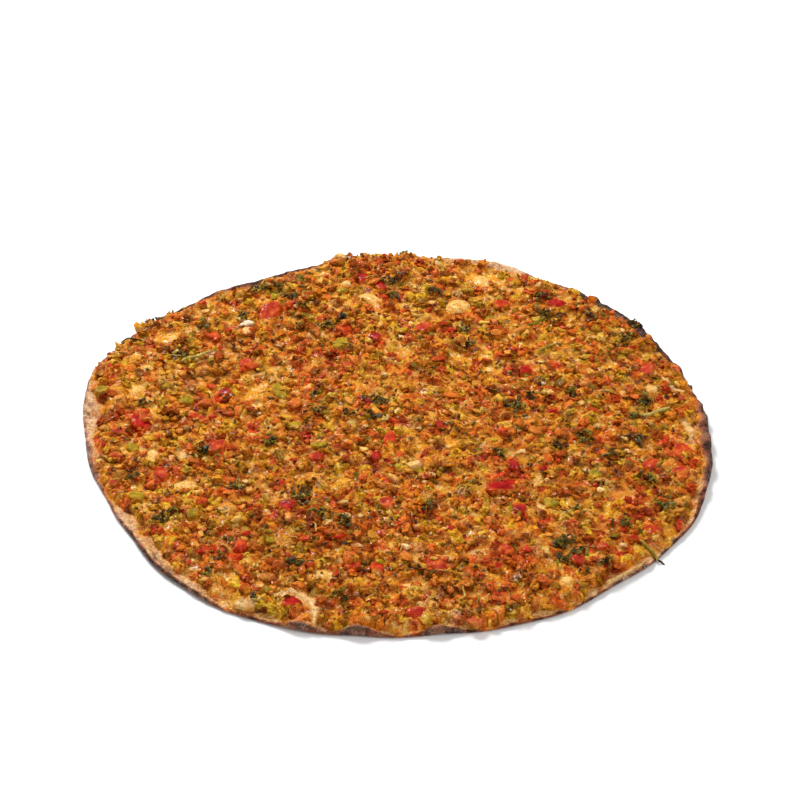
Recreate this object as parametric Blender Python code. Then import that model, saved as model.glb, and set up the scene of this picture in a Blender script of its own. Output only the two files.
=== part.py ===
"""Lahmacun: a thin round flatbread baked under a minced meat and vegetable topping.

The bread is one disc with a flat underside, a narrow uneven rim and blisters that
stand up through the topping. The meat topping is one uneven layer inside the rim.
The pieces of tomato, red pepper and green pepper that are too large to be part of
the mince are solids of their own, half sunk in pockets of the topping.
"""
import math
import random

import bmesh
import bpy
from mathutils import Matrix, Vector, noise
from mathutils.geometry import delaunay_2d_cdt

MM = 0.001
GAP = 0.3 * MM              # space kept between neighbouring pieces

# Bread
BREAD_RADIUS = 149.0 * MM   # mean radius of the outline
BREAD_THICKNESS = 2.8 * MM  # of the disc under the topping
RIM_WIDTH = 4.8 * MM        # mean distance from the outline to the topping
RIM_RISE = 1.9 * MM         # mean height of the rim's crest over the disc
EDGE_LIFT = 0.9 * MM        # how far the outer edge curls up off the table
CURL_WIDTH = 8.0 * MM       # width of the band that curls up
OUTLINE_SIDES = 96

# Meat topping
TOPPING_RISE = 3.3 * MM     # mean height over its own base
TOPPING_RELIEF = 1.8 * MM   # height of its humps and hollows
HUMP_SIZE = 13.0 * MM       # distance from hump to hollow
TOPPING_SHOULDER = 1.7 * MM # height of its side all round
TOPPING_GRID = 9.3 * MM     # distance between the points of its surface

# Every row is a smooth bump: middle angle and half width in degrees, height in mm.
OUTLINE_BUMPS = (
    (18, 9, -2.2), (71, 5, 3.4), (96, 6, 3.2), (116, 9, -4.6), (146, 4, 2.2), (162, 10, 8.6),
    (207, 11, -4.6), (240, 12, 1.4), (273, 9, -1.8), (298, 5, 1.6), (332, 12, 3.2),
)
RIM_WIDTH_BUMPS = (
    (0, 12, 2.4), (62, 8, 4.4), (92, 11, -3.2), (148, 6, -3.4), (178, 10, 3.6), (228, 8, 2.4),
    (254, 5, 2.6), (300, 8, -2.4), (325, 8, -2.0), (350, 7, 1.6),
)
RIM_RISE_BUMPS = (
    (8, 3, 0.8), (26, 3, 1.2), (65, 5, 0.9), (92, 11, -1.0), (148, 6, -1.3), (175, 5, 1.8),
    (196, 3, 0.7), (236, 4, 1.0), (243, 2, 0.9), (254, 3, 1.5), (263, 2, 0.9), (276, 3, 1.0),
    (300, 9, -1.0), (328, 8, -0.9), (347, 4, 0.8),
)

# Blisters of the bread that show through the topping: middle x and y, length, width
# and height over the disc in mm, and turn in degrees.
BLISTERS = (
    (31, 97, 15, 13, 6.0, 20), (44, 121, 15, 12, 5.0, -60), (-14, 105, 14, 8, 5.2, -35),
    (-98, -49, 12, 9, 4.6, 10), (-32, -112, 13, 10, 4.6, -20), (11, -23, 12, 10, 4.4, 30),
    (-127, 26, 11, 9, 4.6, 70), (-115, -26, 11, 7, 4.6, -75), (124, 26, 10, 9, 4.8, 0),
    (74, -116, 10, 8, 4.4, 60), (-124, 44, 9, 8, 4.6, 0),
)

# Large pieces in the topping: middle x and y, length and width in mm, turn in degrees.
TOMATO_PIECES = (
    (-65, 91, 20, 13, 68), (17, -107, 15, 10, -58), (134, -25, 13, 11, -20),
    (118, -35, 12, 6, 12), (131, -40, 9, 8, -45), (114, -83, 10, 9, 30), (-20, -107, 10, 7, -15),
    (-9, -108, 9, 8, 60), (48, -97, 9, 8, 0), (8, -138, 13, 7, 8), (-38, -29, 10, 7, 15),
    (-70, -94, 9, 7, 60), (123, 42, 9, 8, 45), (13, 77, 12, 9, 0), (-110, -40, 16, 8, -68),
    (-85, -21, 15, 8, 58), (53, 96, 10, 9, 40), (-5, -64, 10, 9, -60), (-27, 76, 10, 8, 10),
    (80, -104, 9, 7, -10), (-4, -16, 15, 7, 62), (-75, 46, 9, 8, -40),
)
RED_PEPPER_PIECES = (
    (48, -52, 21, 8, 36), (55, -69, 12, 8, 52), (-18, 123, 11, 8, -20), (-9, 115, 9, 6, -50),
    (82, 99, 12, 11, 10), (-46, -131, 11, 7, 38), (-51, -65, 9, 8, 15), (63, 40, 11, 6, 62),
    (-11, 69, 9, 6, -62), (-122, -3, 19, 8, -38), (-84, 23, 9, 7, 50), (54, -36, 9, 6, -60),
    (-11, -28, 9, 7, 20),
)
GREEN_PEPPER_PIECES = (
    (-120, -58, 12, 8, -60), (-57, 22, 18, 6, -66), (-37, -20, 11, 5, 5), (-144, 24, 9, 8, 30),
    (-102, 16, 9, 8, 0), (-29, 63, 13, 9, 75), (-125, -20, 9, 7, -50), (-93, -71, 9, 7, 30),
    (92, -41, 11, 7, 62), (-49, -5, 10, 7, 50),
)

# Shape of a large piece
PIECE_THICKNESS = 0.42      # as a share of its width
LEAST_THICKNESS = 3.0 * MM
PIECE_BASE = 1.7 * MM       # height of its underside over the bread
PIECE_TILT = 9.0            # greatest tilt in degrees
PIECE_SIDES = 8
PIECE_PROFILE = ((0.70, -0.50), (1.00, -0.08), (0.76, 0.36))  # share of width, share of height
BEND_OF_STRIPS = 0.16       # sideways bow of a piece over twice as long as wide
RIM_REACH = 8.0 * MM        # a piece nearer than this to the topping's edge also cuts the bread

COLOURS = {
    "bread": (0.58, 0.34, 0.15, 1.0),
    "meat_topping": (0.44, 0.17, 0.025, 1.0),
    "tomato": (0.66, 0.09, 0.02, 1.0),
    "red_pepper": (0.40, 0.012, 0.010, 1.0),
    "green_pepper": (0.30, 0.22, 0.015, 1.0),
}
ROUGHNESS = {"bread": 0.8, "meat_topping": 0.5, "tomato": 0.25, "red_pepper": 0.25, "green_pepper": 0.35}


def clear_scene():
    for thing in list(bpy.data.objects):
        bpy.data.objects.remove(thing, do_unlink=True)


def principled(kind):
    material = bpy.data.materials.new(kind)
    material.use_nodes = True
    shader = material.node_tree.nodes["Principled BSDF"]
    shader.inputs["Base Color"].default_value = COLOURS[kind]
    shader.inputs["Roughness"].default_value = ROUGHNESS[kind]
    return material


def link_object(name, shape, material, collection=None):
    """Turns a bmesh into an object, shaded smooth but for its sharp edges."""
    bmesh.ops.recalc_face_normals(shape, faces=shape.faces)
    mesh = bpy.data.meshes.new(name)
    shape.to_mesh(mesh)
    shape.free()
    mesh.shade_smooth()
    mesh.set_sharp_from_angle(angle=math.radians(50))
    if material:
        mesh.materials.append(material)
    thing = bpy.data.objects.new(name, mesh)
    (collection or bpy.context.scene.collection).objects.link(thing)
    return thing


def bump_sum(degrees, rows):
    """Height in metres of all the smooth bumps in the rows at one angle."""
    total = 0.0
    for middle, half_width, height in rows:
        away = (degrees - middle + 180.0) % 360.0 - 180.0
        total += height * MM * math.exp(-0.5 * (away / half_width) ** 2)
    return total


def outline_radius(degrees):
    ripple = 0.35 * MM * math.sin(math.radians(degrees) * 23)
    return BREAD_RADIUS + bump_sum(degrees, OUTLINE_BUMPS) + ripple


def rim_width(degrees):
    wander = 0.5 * MM * math.sin(math.radians(degrees) * 17 + 1.0)
    return RIM_WIDTH + bump_sum(degrees, RIM_WIDTH_BUMPS) + wander


def rim_rise(degrees):
    wave = 0.35 * MM * math.sin(math.radians(degrees) * 11) + 0.25 * MM * math.sin(math.radians(degrees) * 29)
    return RIM_RISE + bump_sum(degrees, RIM_RISE_BUMPS) + wave


def outline_middle():
    """Middle of the box round the outline, which becomes the origin."""
    corners = []
    for degrees in range(360):
        angle = math.radians(degrees)
        corners.append(outline_radius(degrees) * Vector((math.cos(angle), math.sin(angle))))
    low = Vector((min(point.x for point in corners), min(point.y for point in corners)))
    high = Vector((max(point.x for point in corners), max(point.y for point in corners)))
    return (low + high) / 2


def edge_point(degrees, inset, height, middle):
    """A point at a distance inside the outline, at one angle and height."""
    reach = outline_radius(degrees) - inset
    angle = math.radians(degrees)
    return Vector((reach * math.cos(angle) - middle.x, reach * math.sin(angle) - middle.y, height))


def bread_section(degrees, middle):
    """One radial section of the bread, from the edge of its flat top round to its flat underside."""
    width = rim_width(degrees)
    rise = rim_rise(degrees)
    crest = BREAD_THICKNESS + rise
    lift = EDGE_LIFT * (1.0 + 0.5 * math.sin(math.radians(degrees) * 5))
    stations = (
        (width, BREAD_THICKNESS),
        (width * 0.78, BREAD_THICKNESS + rise * 0.55),
        (width * 0.48, crest),
        (width * 0.16, crest - 0.22 * rise),
        (0.0, (crest + lift) * 0.52),
        (0.7 * MM, lift + 0.25 * MM),
        (CURL_WIDTH * 0.45, lift * 0.32),
        (CURL_WIDTH, 0.0),
    )
    return [edge_point(degrees, inset, height, middle) for inset, height in stations]


def make_bread(material, middle):
    shape = bmesh.new()
    sections = []
    for side in range(OUTLINE_SIDES):
        points = bread_section(360.0 * side / OUTLINE_SIDES, middle)
        sections.append([shape.verts.new(point) for point in points])
    for side, section in enumerate(sections):
        following = sections[(side + 1) % OUTLINE_SIDES]
        for row in range(len(section) - 1):
            shape.faces.new((section[row], following[row], following[row + 1], section[row + 1]))
    shape.faces.new([section[0] for section in sections])
    shape.faces.new([section[-1] for section in sections])
    return link_object("bread", shape, material)


def topping_height(point):
    """Height of the topping's surface over its base: broad humps with smaller ones on them."""
    broad = noise.noise(Vector((point.x, point.y, 0.0)) / HUMP_SIZE)
    small = noise.noise(Vector((point.x, point.y, 1.0)) / (HUMP_SIZE * 0.45))
    return TOPPING_RISE + TOPPING_RELIEF * (broad + 0.6 * small)


def topping_points(edge):
    """The edge of the topping, followed by jittered rows of points inside it."""
    points = [Vector((point.x, point.y)) for point in edge]
    chance = random.Random(7)
    row_step = TOPPING_GRID * math.sqrt(3) / 2
    rows = int(BREAD_RADIUS / row_step) + 2
    for row in range(-rows, rows + 1):
        for column in range(-rows, rows + 1):
            shift = 0.5 if row % 2 else 0.0
            jitter = Vector((chance.uniform(-1, 1), chance.uniform(-1, 1))) * TOPPING_GRID * 0.16
            point = Vector(((column + shift) * TOPPING_GRID, row * row_step)) + jitter
            nearest = min((point - other).length for other in points[:len(edge)])
            inside = point.length < BREAD_RADIUS * 0.8 or is_inside(point, edge)
            if inside and nearest > TOPPING_GRID * 0.55:
                points.append(point)
    return points


def is_inside(point, edge):
    """Whether a point lies inside a closed outline."""
    crossings = 0
    for start, end in zip(edge, edge[1:] + edge[:1]):
        if (start.y > point.y) != (end.y > point.y):
            share = (point.y - start.y) / (end.y - start.y)
            crossings += point.x < start.x + share * (end.x - start.x)
    return crossings % 2 == 1


def make_topping(material, middle):
    base = BREAD_THICKNESS + GAP
    edge = []
    for side in range(OUTLINE_SIDES):
        degrees = 360.0 * side / OUTLINE_SIDES
        edge.append(edge_point(degrees, rim_width(degrees) + GAP, base, middle))
    flat = topping_points(edge)
    outline = list(range(len(edge)))
    corners, _, faces, *_ = delaunay_2d_cdt(flat, [], [outline], 1, 1e-7)
    shape = bmesh.new()
    top = []
    for index, corner in enumerate(corners):
        rise = TOPPING_SHOULDER if index < len(edge) else max(TOPPING_SHOULDER, topping_height(corner))
        top.append(shape.verts.new((corner.x, corner.y, base + rise)))
    for face in faces:
        shape.faces.new([top[index] for index in face])
    bottom = [shape.verts.new(point) for point in edge]
    for side in range(len(edge)):
        following = (side + 1) % len(edge)
        shape.faces.new((bottom[side], bottom[following], top[following], top[side]))
    shape.faces.new(bottom)
    return link_object("meat_topping", shape, material)


def piece_shape(length, width, height, seed, grow=0.0):
    """An eight-sided lump with an uneven outline, flat below and pointed above, about the origin."""
    chance = random.Random(seed)
    reaches = [chance.uniform(0.86, 1.06) for _ in range(PIECE_SIDES)]
    bow = BEND_OF_STRIPS * length if length > 2 * width else 0.0
    shape = bmesh.new()
    rings = []
    for share, level in PIECE_PROFILE:
        ring = []
        for side, reach in enumerate(reaches):
            angle = 2 * math.pi * side / PIECE_SIDES
            x = math.cos(angle) * (reach * share * length / 2 + grow)
            y = math.sin(angle) * (reach * share * width / 2 + grow)
            y += bow * ((2 * x / length) ** 2 - 0.4)
            ring.append(shape.verts.new((x, y, level * height + math.copysign(grow, level))))
        rings.append(ring)
    for lower, upper in zip(rings, rings[1:]):
        for side in range(PIECE_SIDES):
            following = (side + 1) % PIECE_SIDES
            shape.faces.new((lower[side], lower[following], upper[following], upper[side]))
    tip = shape.verts.new((0.0, bow * -0.4, height / 2 + grow))
    for side in range(PIECE_SIDES):
        shape.faces.new((rings[-1][side], rings[-1][(side + 1) % PIECE_SIDES], tip))
    shape.faces.new(rings[0])
    return shape


def dome_shape(length, width, height, grow=0.0):
    """A blister: a dome with a shallow underside, widest at the top of the bread's disc."""
    shape = bmesh.new()
    bmesh.ops.create_uvsphere(shape, u_segments=10, v_segments=6, radius=1.0)
    for vert in shape.verts:
        drop = BREAD_THICKNESS * 0.4 if vert.co.z < 0 else height + grow
        vert.co = Vector((vert.co.x * (length / 2 + grow), vert.co.y * (width / 2 + grow), vert.co.z * drop))
    return shape


def hide_tool(tool):
    """A tool only cuts or joins, and is no part of the model."""
    tool.hide_render = True
    tool.display_type = "WIRE"


def place(thing, x, y, height, turn, middle, tilt=(0.0, 0.0)):
    spot = Matrix.Translation((x * MM - middle.x, y * MM - middle.y, height))
    lean = Matrix.Rotation(math.radians(tilt[0]), 4, "X") @ Matrix.Rotation(math.radians(tilt[1]), 4, "Y")
    thing.matrix_world = spot @ Matrix.Rotation(math.radians(turn), 4, "Z") @ lean


def add_boolean(thing, operation, tools):
    modifier = thing.modifiers.new(tools.name, "BOOLEAN")
    modifier.operation = operation
    modifier.operand_type = "COLLECTION"
    modifier.collection = tools
    modifier.solver = "EXACT"


def make_pieces(kind, rows, pockets, rim_pockets, middle):
    """The large pieces of one kind, each with a cutter that is larger by the gap all round."""
    material = principled(kind)
    for number, (x, y, length, width, turn) in enumerate(rows, start=1):
        name = f"{kind}_{number:02d}"
        chance = random.Random(name)
        tilt = (chance.uniform(-PIECE_TILT, PIECE_TILT), chance.uniform(-PIECE_TILT, PIECE_TILT) / 2)
        size = (length * MM, width * MM, max(LEAST_THICKNESS, width * PIECE_THICKNESS * MM))
        height = BREAD_THICKNESS + GAP + PIECE_BASE + size[2] / 2
        piece = link_object(name, piece_shape(*size, name), material)
        place(piece, x, y, height, turn, middle, tilt)
        degrees = math.degrees(math.atan2(y, x)) % 360
        to_topping_edge = outline_radius(degrees) - rim_width(degrees) - math.hypot(x, y) * MM
        near_rim = to_topping_edge < max(RIM_REACH, length * MM / 2 + GAP)
        for tools in (pockets, rim_pockets) if near_rim else (pockets,):
            cutter = link_object(f"{tools.name}_{name}", piece_shape(*size, name, GAP), None, tools)
            place(cutter, x, y, height, turn, middle, tilt)
            hide_tool(cutter)


def make_blisters(blisters, pockets, middle):
    for number, (x, y, length, width, height, turn) in enumerate(BLISTERS, start=1):
        size = (length * MM, width * MM, height * MM)
        dome = link_object(f"blister_{number:02d}", dome_shape(*size), None, blisters)
        hole = link_object(f"blister_hole_{number:02d}", dome_shape(*size, GAP), None, pockets)
        for tool in (dome, hole):
            place(tool, x, y, BREAD_THICKNESS, turn, middle)
            hide_tool(tool)


def new_collection(name):
    tools = bpy.data.collections.new(name)
    bpy.context.scene.collection.children.link(tools)
    return tools


def main():
    clear_scene()
    middle = outline_middle()
    bread = make_bread(principled("bread"), middle)
    topping = make_topping(principled("meat_topping"), middle)
    pockets = new_collection("pockets")
    rim_pockets = new_collection("rim_pockets")
    blisters = new_collection("blisters")
    make_pieces("tomato", TOMATO_PIECES, pockets, rim_pockets, middle)
    make_pieces("red_pepper", RED_PEPPER_PIECES, pockets, rim_pockets, middle)
    make_pieces("green_pepper", GREEN_PEPPER_PIECES, pockets, rim_pockets, middle)
    make_blisters(blisters, pockets, middle)
    add_boolean(bread, "UNION", blisters)
    add_boolean(bread, "DIFFERENCE", rim_pockets)
    add_boolean(topping, "DIFFERENCE", pockets)


main()
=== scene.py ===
"""The finished look of the lahmacun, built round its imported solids.

The bread, the meat topping and the large vegetable pieces of the frame are replaced by
detailed meshes that hold the same places and sizes. Lengths are in metres, apart from the
numbers that a comment or a name gives in mm; MM turns those into metres.
"""
import math

import bmesh
import bpy
import numpy as np
from mathutils import Euler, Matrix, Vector, noise


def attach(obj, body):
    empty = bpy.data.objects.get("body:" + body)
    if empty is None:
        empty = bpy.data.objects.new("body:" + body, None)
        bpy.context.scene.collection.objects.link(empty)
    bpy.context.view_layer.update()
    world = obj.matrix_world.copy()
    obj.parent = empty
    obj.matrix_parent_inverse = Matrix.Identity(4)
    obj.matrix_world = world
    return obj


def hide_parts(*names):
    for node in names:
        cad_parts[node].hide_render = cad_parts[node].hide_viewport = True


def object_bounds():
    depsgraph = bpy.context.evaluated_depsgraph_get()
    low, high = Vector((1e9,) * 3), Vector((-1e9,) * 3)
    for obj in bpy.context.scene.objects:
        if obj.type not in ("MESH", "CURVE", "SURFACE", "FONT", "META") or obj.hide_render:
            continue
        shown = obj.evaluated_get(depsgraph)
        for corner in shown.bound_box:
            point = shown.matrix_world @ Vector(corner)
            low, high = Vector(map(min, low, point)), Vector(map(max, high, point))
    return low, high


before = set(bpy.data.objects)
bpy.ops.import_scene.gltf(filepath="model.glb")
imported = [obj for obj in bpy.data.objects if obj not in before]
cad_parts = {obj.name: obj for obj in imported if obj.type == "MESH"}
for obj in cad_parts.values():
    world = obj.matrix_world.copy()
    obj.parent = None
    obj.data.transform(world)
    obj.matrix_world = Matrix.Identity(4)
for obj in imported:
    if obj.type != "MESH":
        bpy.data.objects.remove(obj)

cad_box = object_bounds()

MM = 0.001
GAP = 0.3 * MM

# Bread, as in the solids
BREAD_RADIUS = 149.0 * MM
BREAD_THICKNESS = 2.8 * MM
RIM_WIDTH = 4.8 * MM
EDGE_LIFT = 0.9 * MM
CURL_WIDTH = 8.0 * MM
# Every row is a smooth bump: middle angle and half width in degrees, height in mm.
OUTLINE_BUMPS = (
    (18, 9, -2.2), (71, 5, 3.4), (96, 6, 3.2), (116, 9, -4.6), (146, 4, 2.2), (162, 10, 8.6),
    (207, 11, -4.6), (240, 12, 1.4), (273, 9, -1.8), (298, 5, 1.6), (332, 12, 3.2),
)
RIM_WIDTH_BUMPS = (
    (0, 12, 2.4), (62, 8, 4.4), (92, 11, -3.2), (148, 6, -3.4), (178, 10, 3.6), (228, 8, 2.4),
    (254, 5, 2.6), (300, 8, -2.4), (325, 8, -2.0), (350, 7, 1.6),
)
# The rim in detail, in the same form: its height, how far in bare dough shows, how far in and how dark
# it is baked, how floury it is and how much it is rolled, the last three as shares.
EDGE_HEIGHT = 2.0 * MM
EDGE_HEIGHT_ROWS = (
    (355, 11, 3.2), (30, 12, 1.8), (71, 8, 1.6), (93, 7, -0.3), (122, 13, 2.3), (147, 5, -0.3),
    (173, 7, 1.4), (190, 7, 1.2), (221, 7, 1.8), (233, 2.5, 0.9), (253.5, 2.2, 2.6), (263.2, 1.9, 3.2),
    (277.4, 1.9, 2.4), (313, 4, 0.7), (340, 5, 0.8),
)
BARE_WIDTH = 1.2 * MM
BARE_ROWS = (
    (354, 10, 5.0), (34, 9, 3.6), (48, 5, 2.4), (70, 8, 6.5), (92, 9, -0.2), (121, 12, 3.0), (146, 5, -0.2),
    (165, 6, -0.8), (175, 4, 8.0), (188, 6, 2.6), (209.5, 2.5, 4.0), (222, 6, 5.4), (233, 2.5, 2.4),
    (254, 4, 2.0), (263.5, 2.5, 1.8), (277.5, 2.5, 1.5), (313, 5, 2.6), (335, 5, 0.6),
)
BROWN_REACH = 0.7 * MM
BROWN_REACH_ROWS = (
    (355, 11, 4.6), (12, 6, 1.4), (34, 10, 4.8), (50, 7, 2.4), (124, 16, 2.4), (176, 6, 0.2), (191, 8, 2.2),
    (221, 8, 0.5), (253.5, 3, 1.6), (263.2, 2.5, 2.4), (277.4, 2.5, 1.8),
)
RIM_BAKE = 0.5
RIM_BAKE_ROWS = (
    (352, 14, 0.55), (12, 6, 0.3), (34, 10, 0.8), (50, 7, 0.5), (125, 24, 0.55), (150, 8, 0.25),
    (190, 9, 0.2), (209, 3, 0.05), (222, 7, 0.55), (233, 3, 0.1), (253.5, 3, 0.2), (263, 3, 0.35),
    (277, 5, 0.35), (70, 9, -0.45), (176, 6, -0.5), (308, 14, 0.05), (336, 6, 0.2),
)
FLOUR_ROWS = (
    (66, 8, 1.0), (176, 6, 1.0), (189, 7, 0.6), (209, 3, 0.5), (221, 7, 0.2), (233, 3, 0.4), (253, 3, 0.4),
    (263, 3, 0.4), (277, 3, 0.2), (352, 11, 0.1), (40, 5, 0.1), (313, 5, 0.8),
)
ROLL_ROWS = (
    (354, 12, 1.0), (31, 10, 0.5), (70, 9, 0.7), (122, 14, 0.4), (176, 8, 0.8), (190, 6, 0.3),
    (253.5, 3, 0.8), (263.2, 3, 0.9), (277.4, 3, 0.9), (222, 8, 0.2),
)
# Bubbles and flaps of dough on the rim: middle x and y, length, width and height in mm, turn in degrees.
RIM_BUBBLES = (
    (145, 13, 9, 6, 1.2, 85), (146, 3, 9, 7, 1.3, 88), (146, -13, 12, 8, 1.5, 85),
    (143, -32, 14, 9, 1.9, 75), (142, -48, 10, 6, 1.0, 70), (145, 30, 4, 4, 1.5, 60),
    (147, 24, 3, 3, 1.2, 60), (-145, 12, 14, 11, 1.6, 5), (101, 107, 8, 6, 1.5, -45),
    (138, 45, 12, 6, 1.2, -70), (49, 137, 22, 10, 1.3, -15), (-88, -117, 12, 7, 0.9, -50),
    (-66, -132, 9, 6, 1.2, -25), (-127, -67, 9, 6, 0.8, -55), (111, -100, 8, 4, 0.8, 45),
    (-17, -145, 11, 8, 1.0, 0), (-43, -141, 11, 7, 0.9, -15), (17, -146, 10, 6, 0.8, 0),
    (129, 64, 7, 5, 1.0, -60),
)
# Scorched spots on the rim: x, y and reach in mm.
SCORCHES = (
    (-149, 15, 2.2), (45, 141, 1.8), (-140, -35, 2.5), (144, 30, 3.5), (147, 24, 2.5), (130, 62, 4.0),
    (124, -86, 2.5), (81, -127, 2.5), (72, -134, 2.5), (102, 109, 3.0), (139, -32, 3.5), (142, 11, 2.5),
    (-17, -149, 3.0), (20, -149, 3.0), (-66, -135, 2.5), (139, 44, 3.0), (-108, -98, 3.0),
    (-100, -107, 3.0), (151, -20, 3.0), (149, -40, 3.0), (152, -6, 3.0), (143, -6, 2.0), (-41, -146, 3.0),
    (133, 66, 3.5), (121, 84, 3.5), (-150, 8, 1.5),
)

# Blisters: middle x and y, length, width and height over the disc in mm, turn in degrees.
BLISTERS = (
    (31, 97, 16, 14, 5.2, 20), (44, 121, 13, 10, 3.5, -60), (-14, 105, 16, 9, 3.8, -35),
    (-98, -49, 13, 9, 3.2, 10), (-32, -112, 13, 9, 3.0, -20), (-127, 26, 10, 8, 3.2, 70),
    (-115, -26, 11, 7, 3.2, -75), (124, 26, 10, 8, 3.6, 0), (74, -116, 10, 7, 3.2, 60),
    (-124, 44, 8, 7, 3.2, 0),
)

# Ridges of dough that stand up between the topping and the rim: start and end x and y, sideways bow,
# width and height in mm.
DOUGH_FOLDS = (
    (-54, -125, -36, -143, 8.5, 6.8, 3.0), (92, -115, 111, -101, -1.0, 4.5, 1.6),
    (136, 1, 140, -13, 1.5, 6.5, 1.4), (130, 34, 140, 25, -2.0, 5.0, 2.0),
    (-70, -130, -60, -127, -2.0, 7.0, 2.4),
)

# How the look of the topping changes over the disc: each row is x, y and reach in mm, and a share.
REGIONS = {
    "dark": (
        (-38, -70, 17, 0.9), (-20, -80, 12, 0.8), (90, -104, 12, 0.5), (50, -102, 20, 0.4),
        (112, -8, 13, 0.6), (122, 12, 9, 0.7), (76, -35, 12, 0.4), (104, -36, 12, 0.5), (118, -50, 9, 0.5),
        (126, -66, 9, 0.3), (-100, 36, 10, 0.4), (-50, 100, 8, 0.5), (-2, 112, 10, 0.7), (-44, 74, 13, 0.6),
        (78, 88, 7, 0.3), (-56, -22, 10, 0.4), (-46, -32, 8, 0.6), (-74, -50, 8, 0.6), (-90, -28, 9, 0.4),
        (-110, -75, 9, 0.1), (-55, -108, 9, 0.4), (-26, -126, 8, 0.4), (30, -130, 7, 0.5), (54, 10, 7, 0.9),
    ),
    "olive": (
        (80, -12, 16, 0.6), (114, 62, 11, 0.5), (-106, 55, 12, 0.6), (-110, 78, 10, 0.3),
        (-62, 106, 10, 0.7), (18, 106, 6, 0.8), (-58, -2, 10, 0.4), (10, -40, 8, 0.5), (-125, -50, 9, 0.5),
        (30, 62, 9, 0.5),
    ),
    "red": (
        (60, 38, 6, 0.8), (76, 36, 12, 0.35), (55, -45, 11, 0.9), (-130, -8, 12, 0.8), (-28, -90, 8, 0.6),
        (122, 44, 8, 0.6), (-68, 95, 7, 0.5), (-14, 132, 12, 0.7), (-30, 77, 10, 0.6), (74, 98, 12, 0.5),
        (-78, 60, 12, 0.3), (-35, 32, 8, 0.3), (-86, -20, 7, 0.4), (-6, -34, 6, 0.5), (-106, -44, 6, 0.5),
        (-50, -65, 6, 0.7), (-72, -92, 8, 0.4), (18, -110, 6, 0.7), (46, -128, 10, 0.5), (54, -70, 6, 0.5),
        (88, -92, 8, 0.4), (24, 0, 7, 0.4), (50, -102, 20, 0.3),
    ),
    "orange": (
        (62, 62, 14, 0.8), (14, 78, 12, 0.6), (-85, 8, 14, 0.6), (-12, -108, 12, 0.8), (134, -28, 9, 0.8),
        (-75, -100, 14, 0.4), (108, -66, 12, 0.7), (100, -90, 15, 0.6), (112, 80, 10, 0.5),
        (-96, -58, 12, 0.5), (94, 66, 10, 0.4), (134, -56, 9, 0.4),
    ),
    "golden": (
        (48, 126, 12, 0.9), (-92, 86, 13, 0.6), (-138, 32, 14, 0.9), (-70, 22, 12, 1.0), (46, 46, 9, 1.0),
        (36, 34, 7, 0.5), (82, 56, 15, 0.5), (-16, -50, 12, 0.6), (28, -44, 7, 0.6), (-100, -52, 8, 0.6),
        (-84, -72, 15, 0.6), (96, -94, 11, 0.35), (66, -64, 7, 0.5), (92, -2, 6, 0.4), (98, 64, 9, 0.4),
        (-14, 106, 7, 0.6), (2, 60, 8, 0.4),
    ),
    "pale": (
        (58, 134, 8, 0.8), (-42, 130, 14, 0.6), (-100, 96, 15, 0.5), (-120, 12, 14, 0.4), (-62, 15, 8, 0.4),
        (-12, 28, 14, 0.5), (10, 20, 8, 0.35), (-42, 10, 12, 0.3), (28, -70, 12, 0.4), (-32, -112, 7, 0.7),
        (2, -94, 7, 0.4), (-40, -134, 8, 0.4), (8, -132, 9, 0.4), (74, -116, 7, 0.6), (136, 26, 8, 0.5),
        (32, 98, 8, 0.6), (-32, 98, 6, 0.5), (-2, -45, 5, 0.6), (-92, -110, 10, 0.2),
    ),
    "pink": ((-126, 4, 8, 0.5), (48, -55, 7, 0.6), (-40, 44, 14, 0.5), (36, 16, 9, 0.3), (15, -97, 7, 0.3)),
}
# The tones, as factors of the red, green and blue of a tint.
TONES = {
    "dark": (0.54, 0.46, 0.42), "olive": (0.62, 0.76, 0.5), "red": (0.9, 0.42, 0.55),
    "orange": (1.12, 0.84, 0.6), "golden": (1.18, 1.38, 0.7), "pale": (1.2, 1.42, 2.6),
    "pink": (0.98, 0.9, 2.4),
}

# Tones that also come and go everywhere: size of the patches in mm, and share.
TONE_PATCHES = (
    ("golden", 6.0, 0.9), ("pink", 5.5, 0.9), ("olive", 5.0, 0.8), ("dark", 4.5, 0.9), ("red", 5.0, 0.8),
    ("pale", 4.0, 0.6), ("orange", 7.0, 0.5),
)

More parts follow.
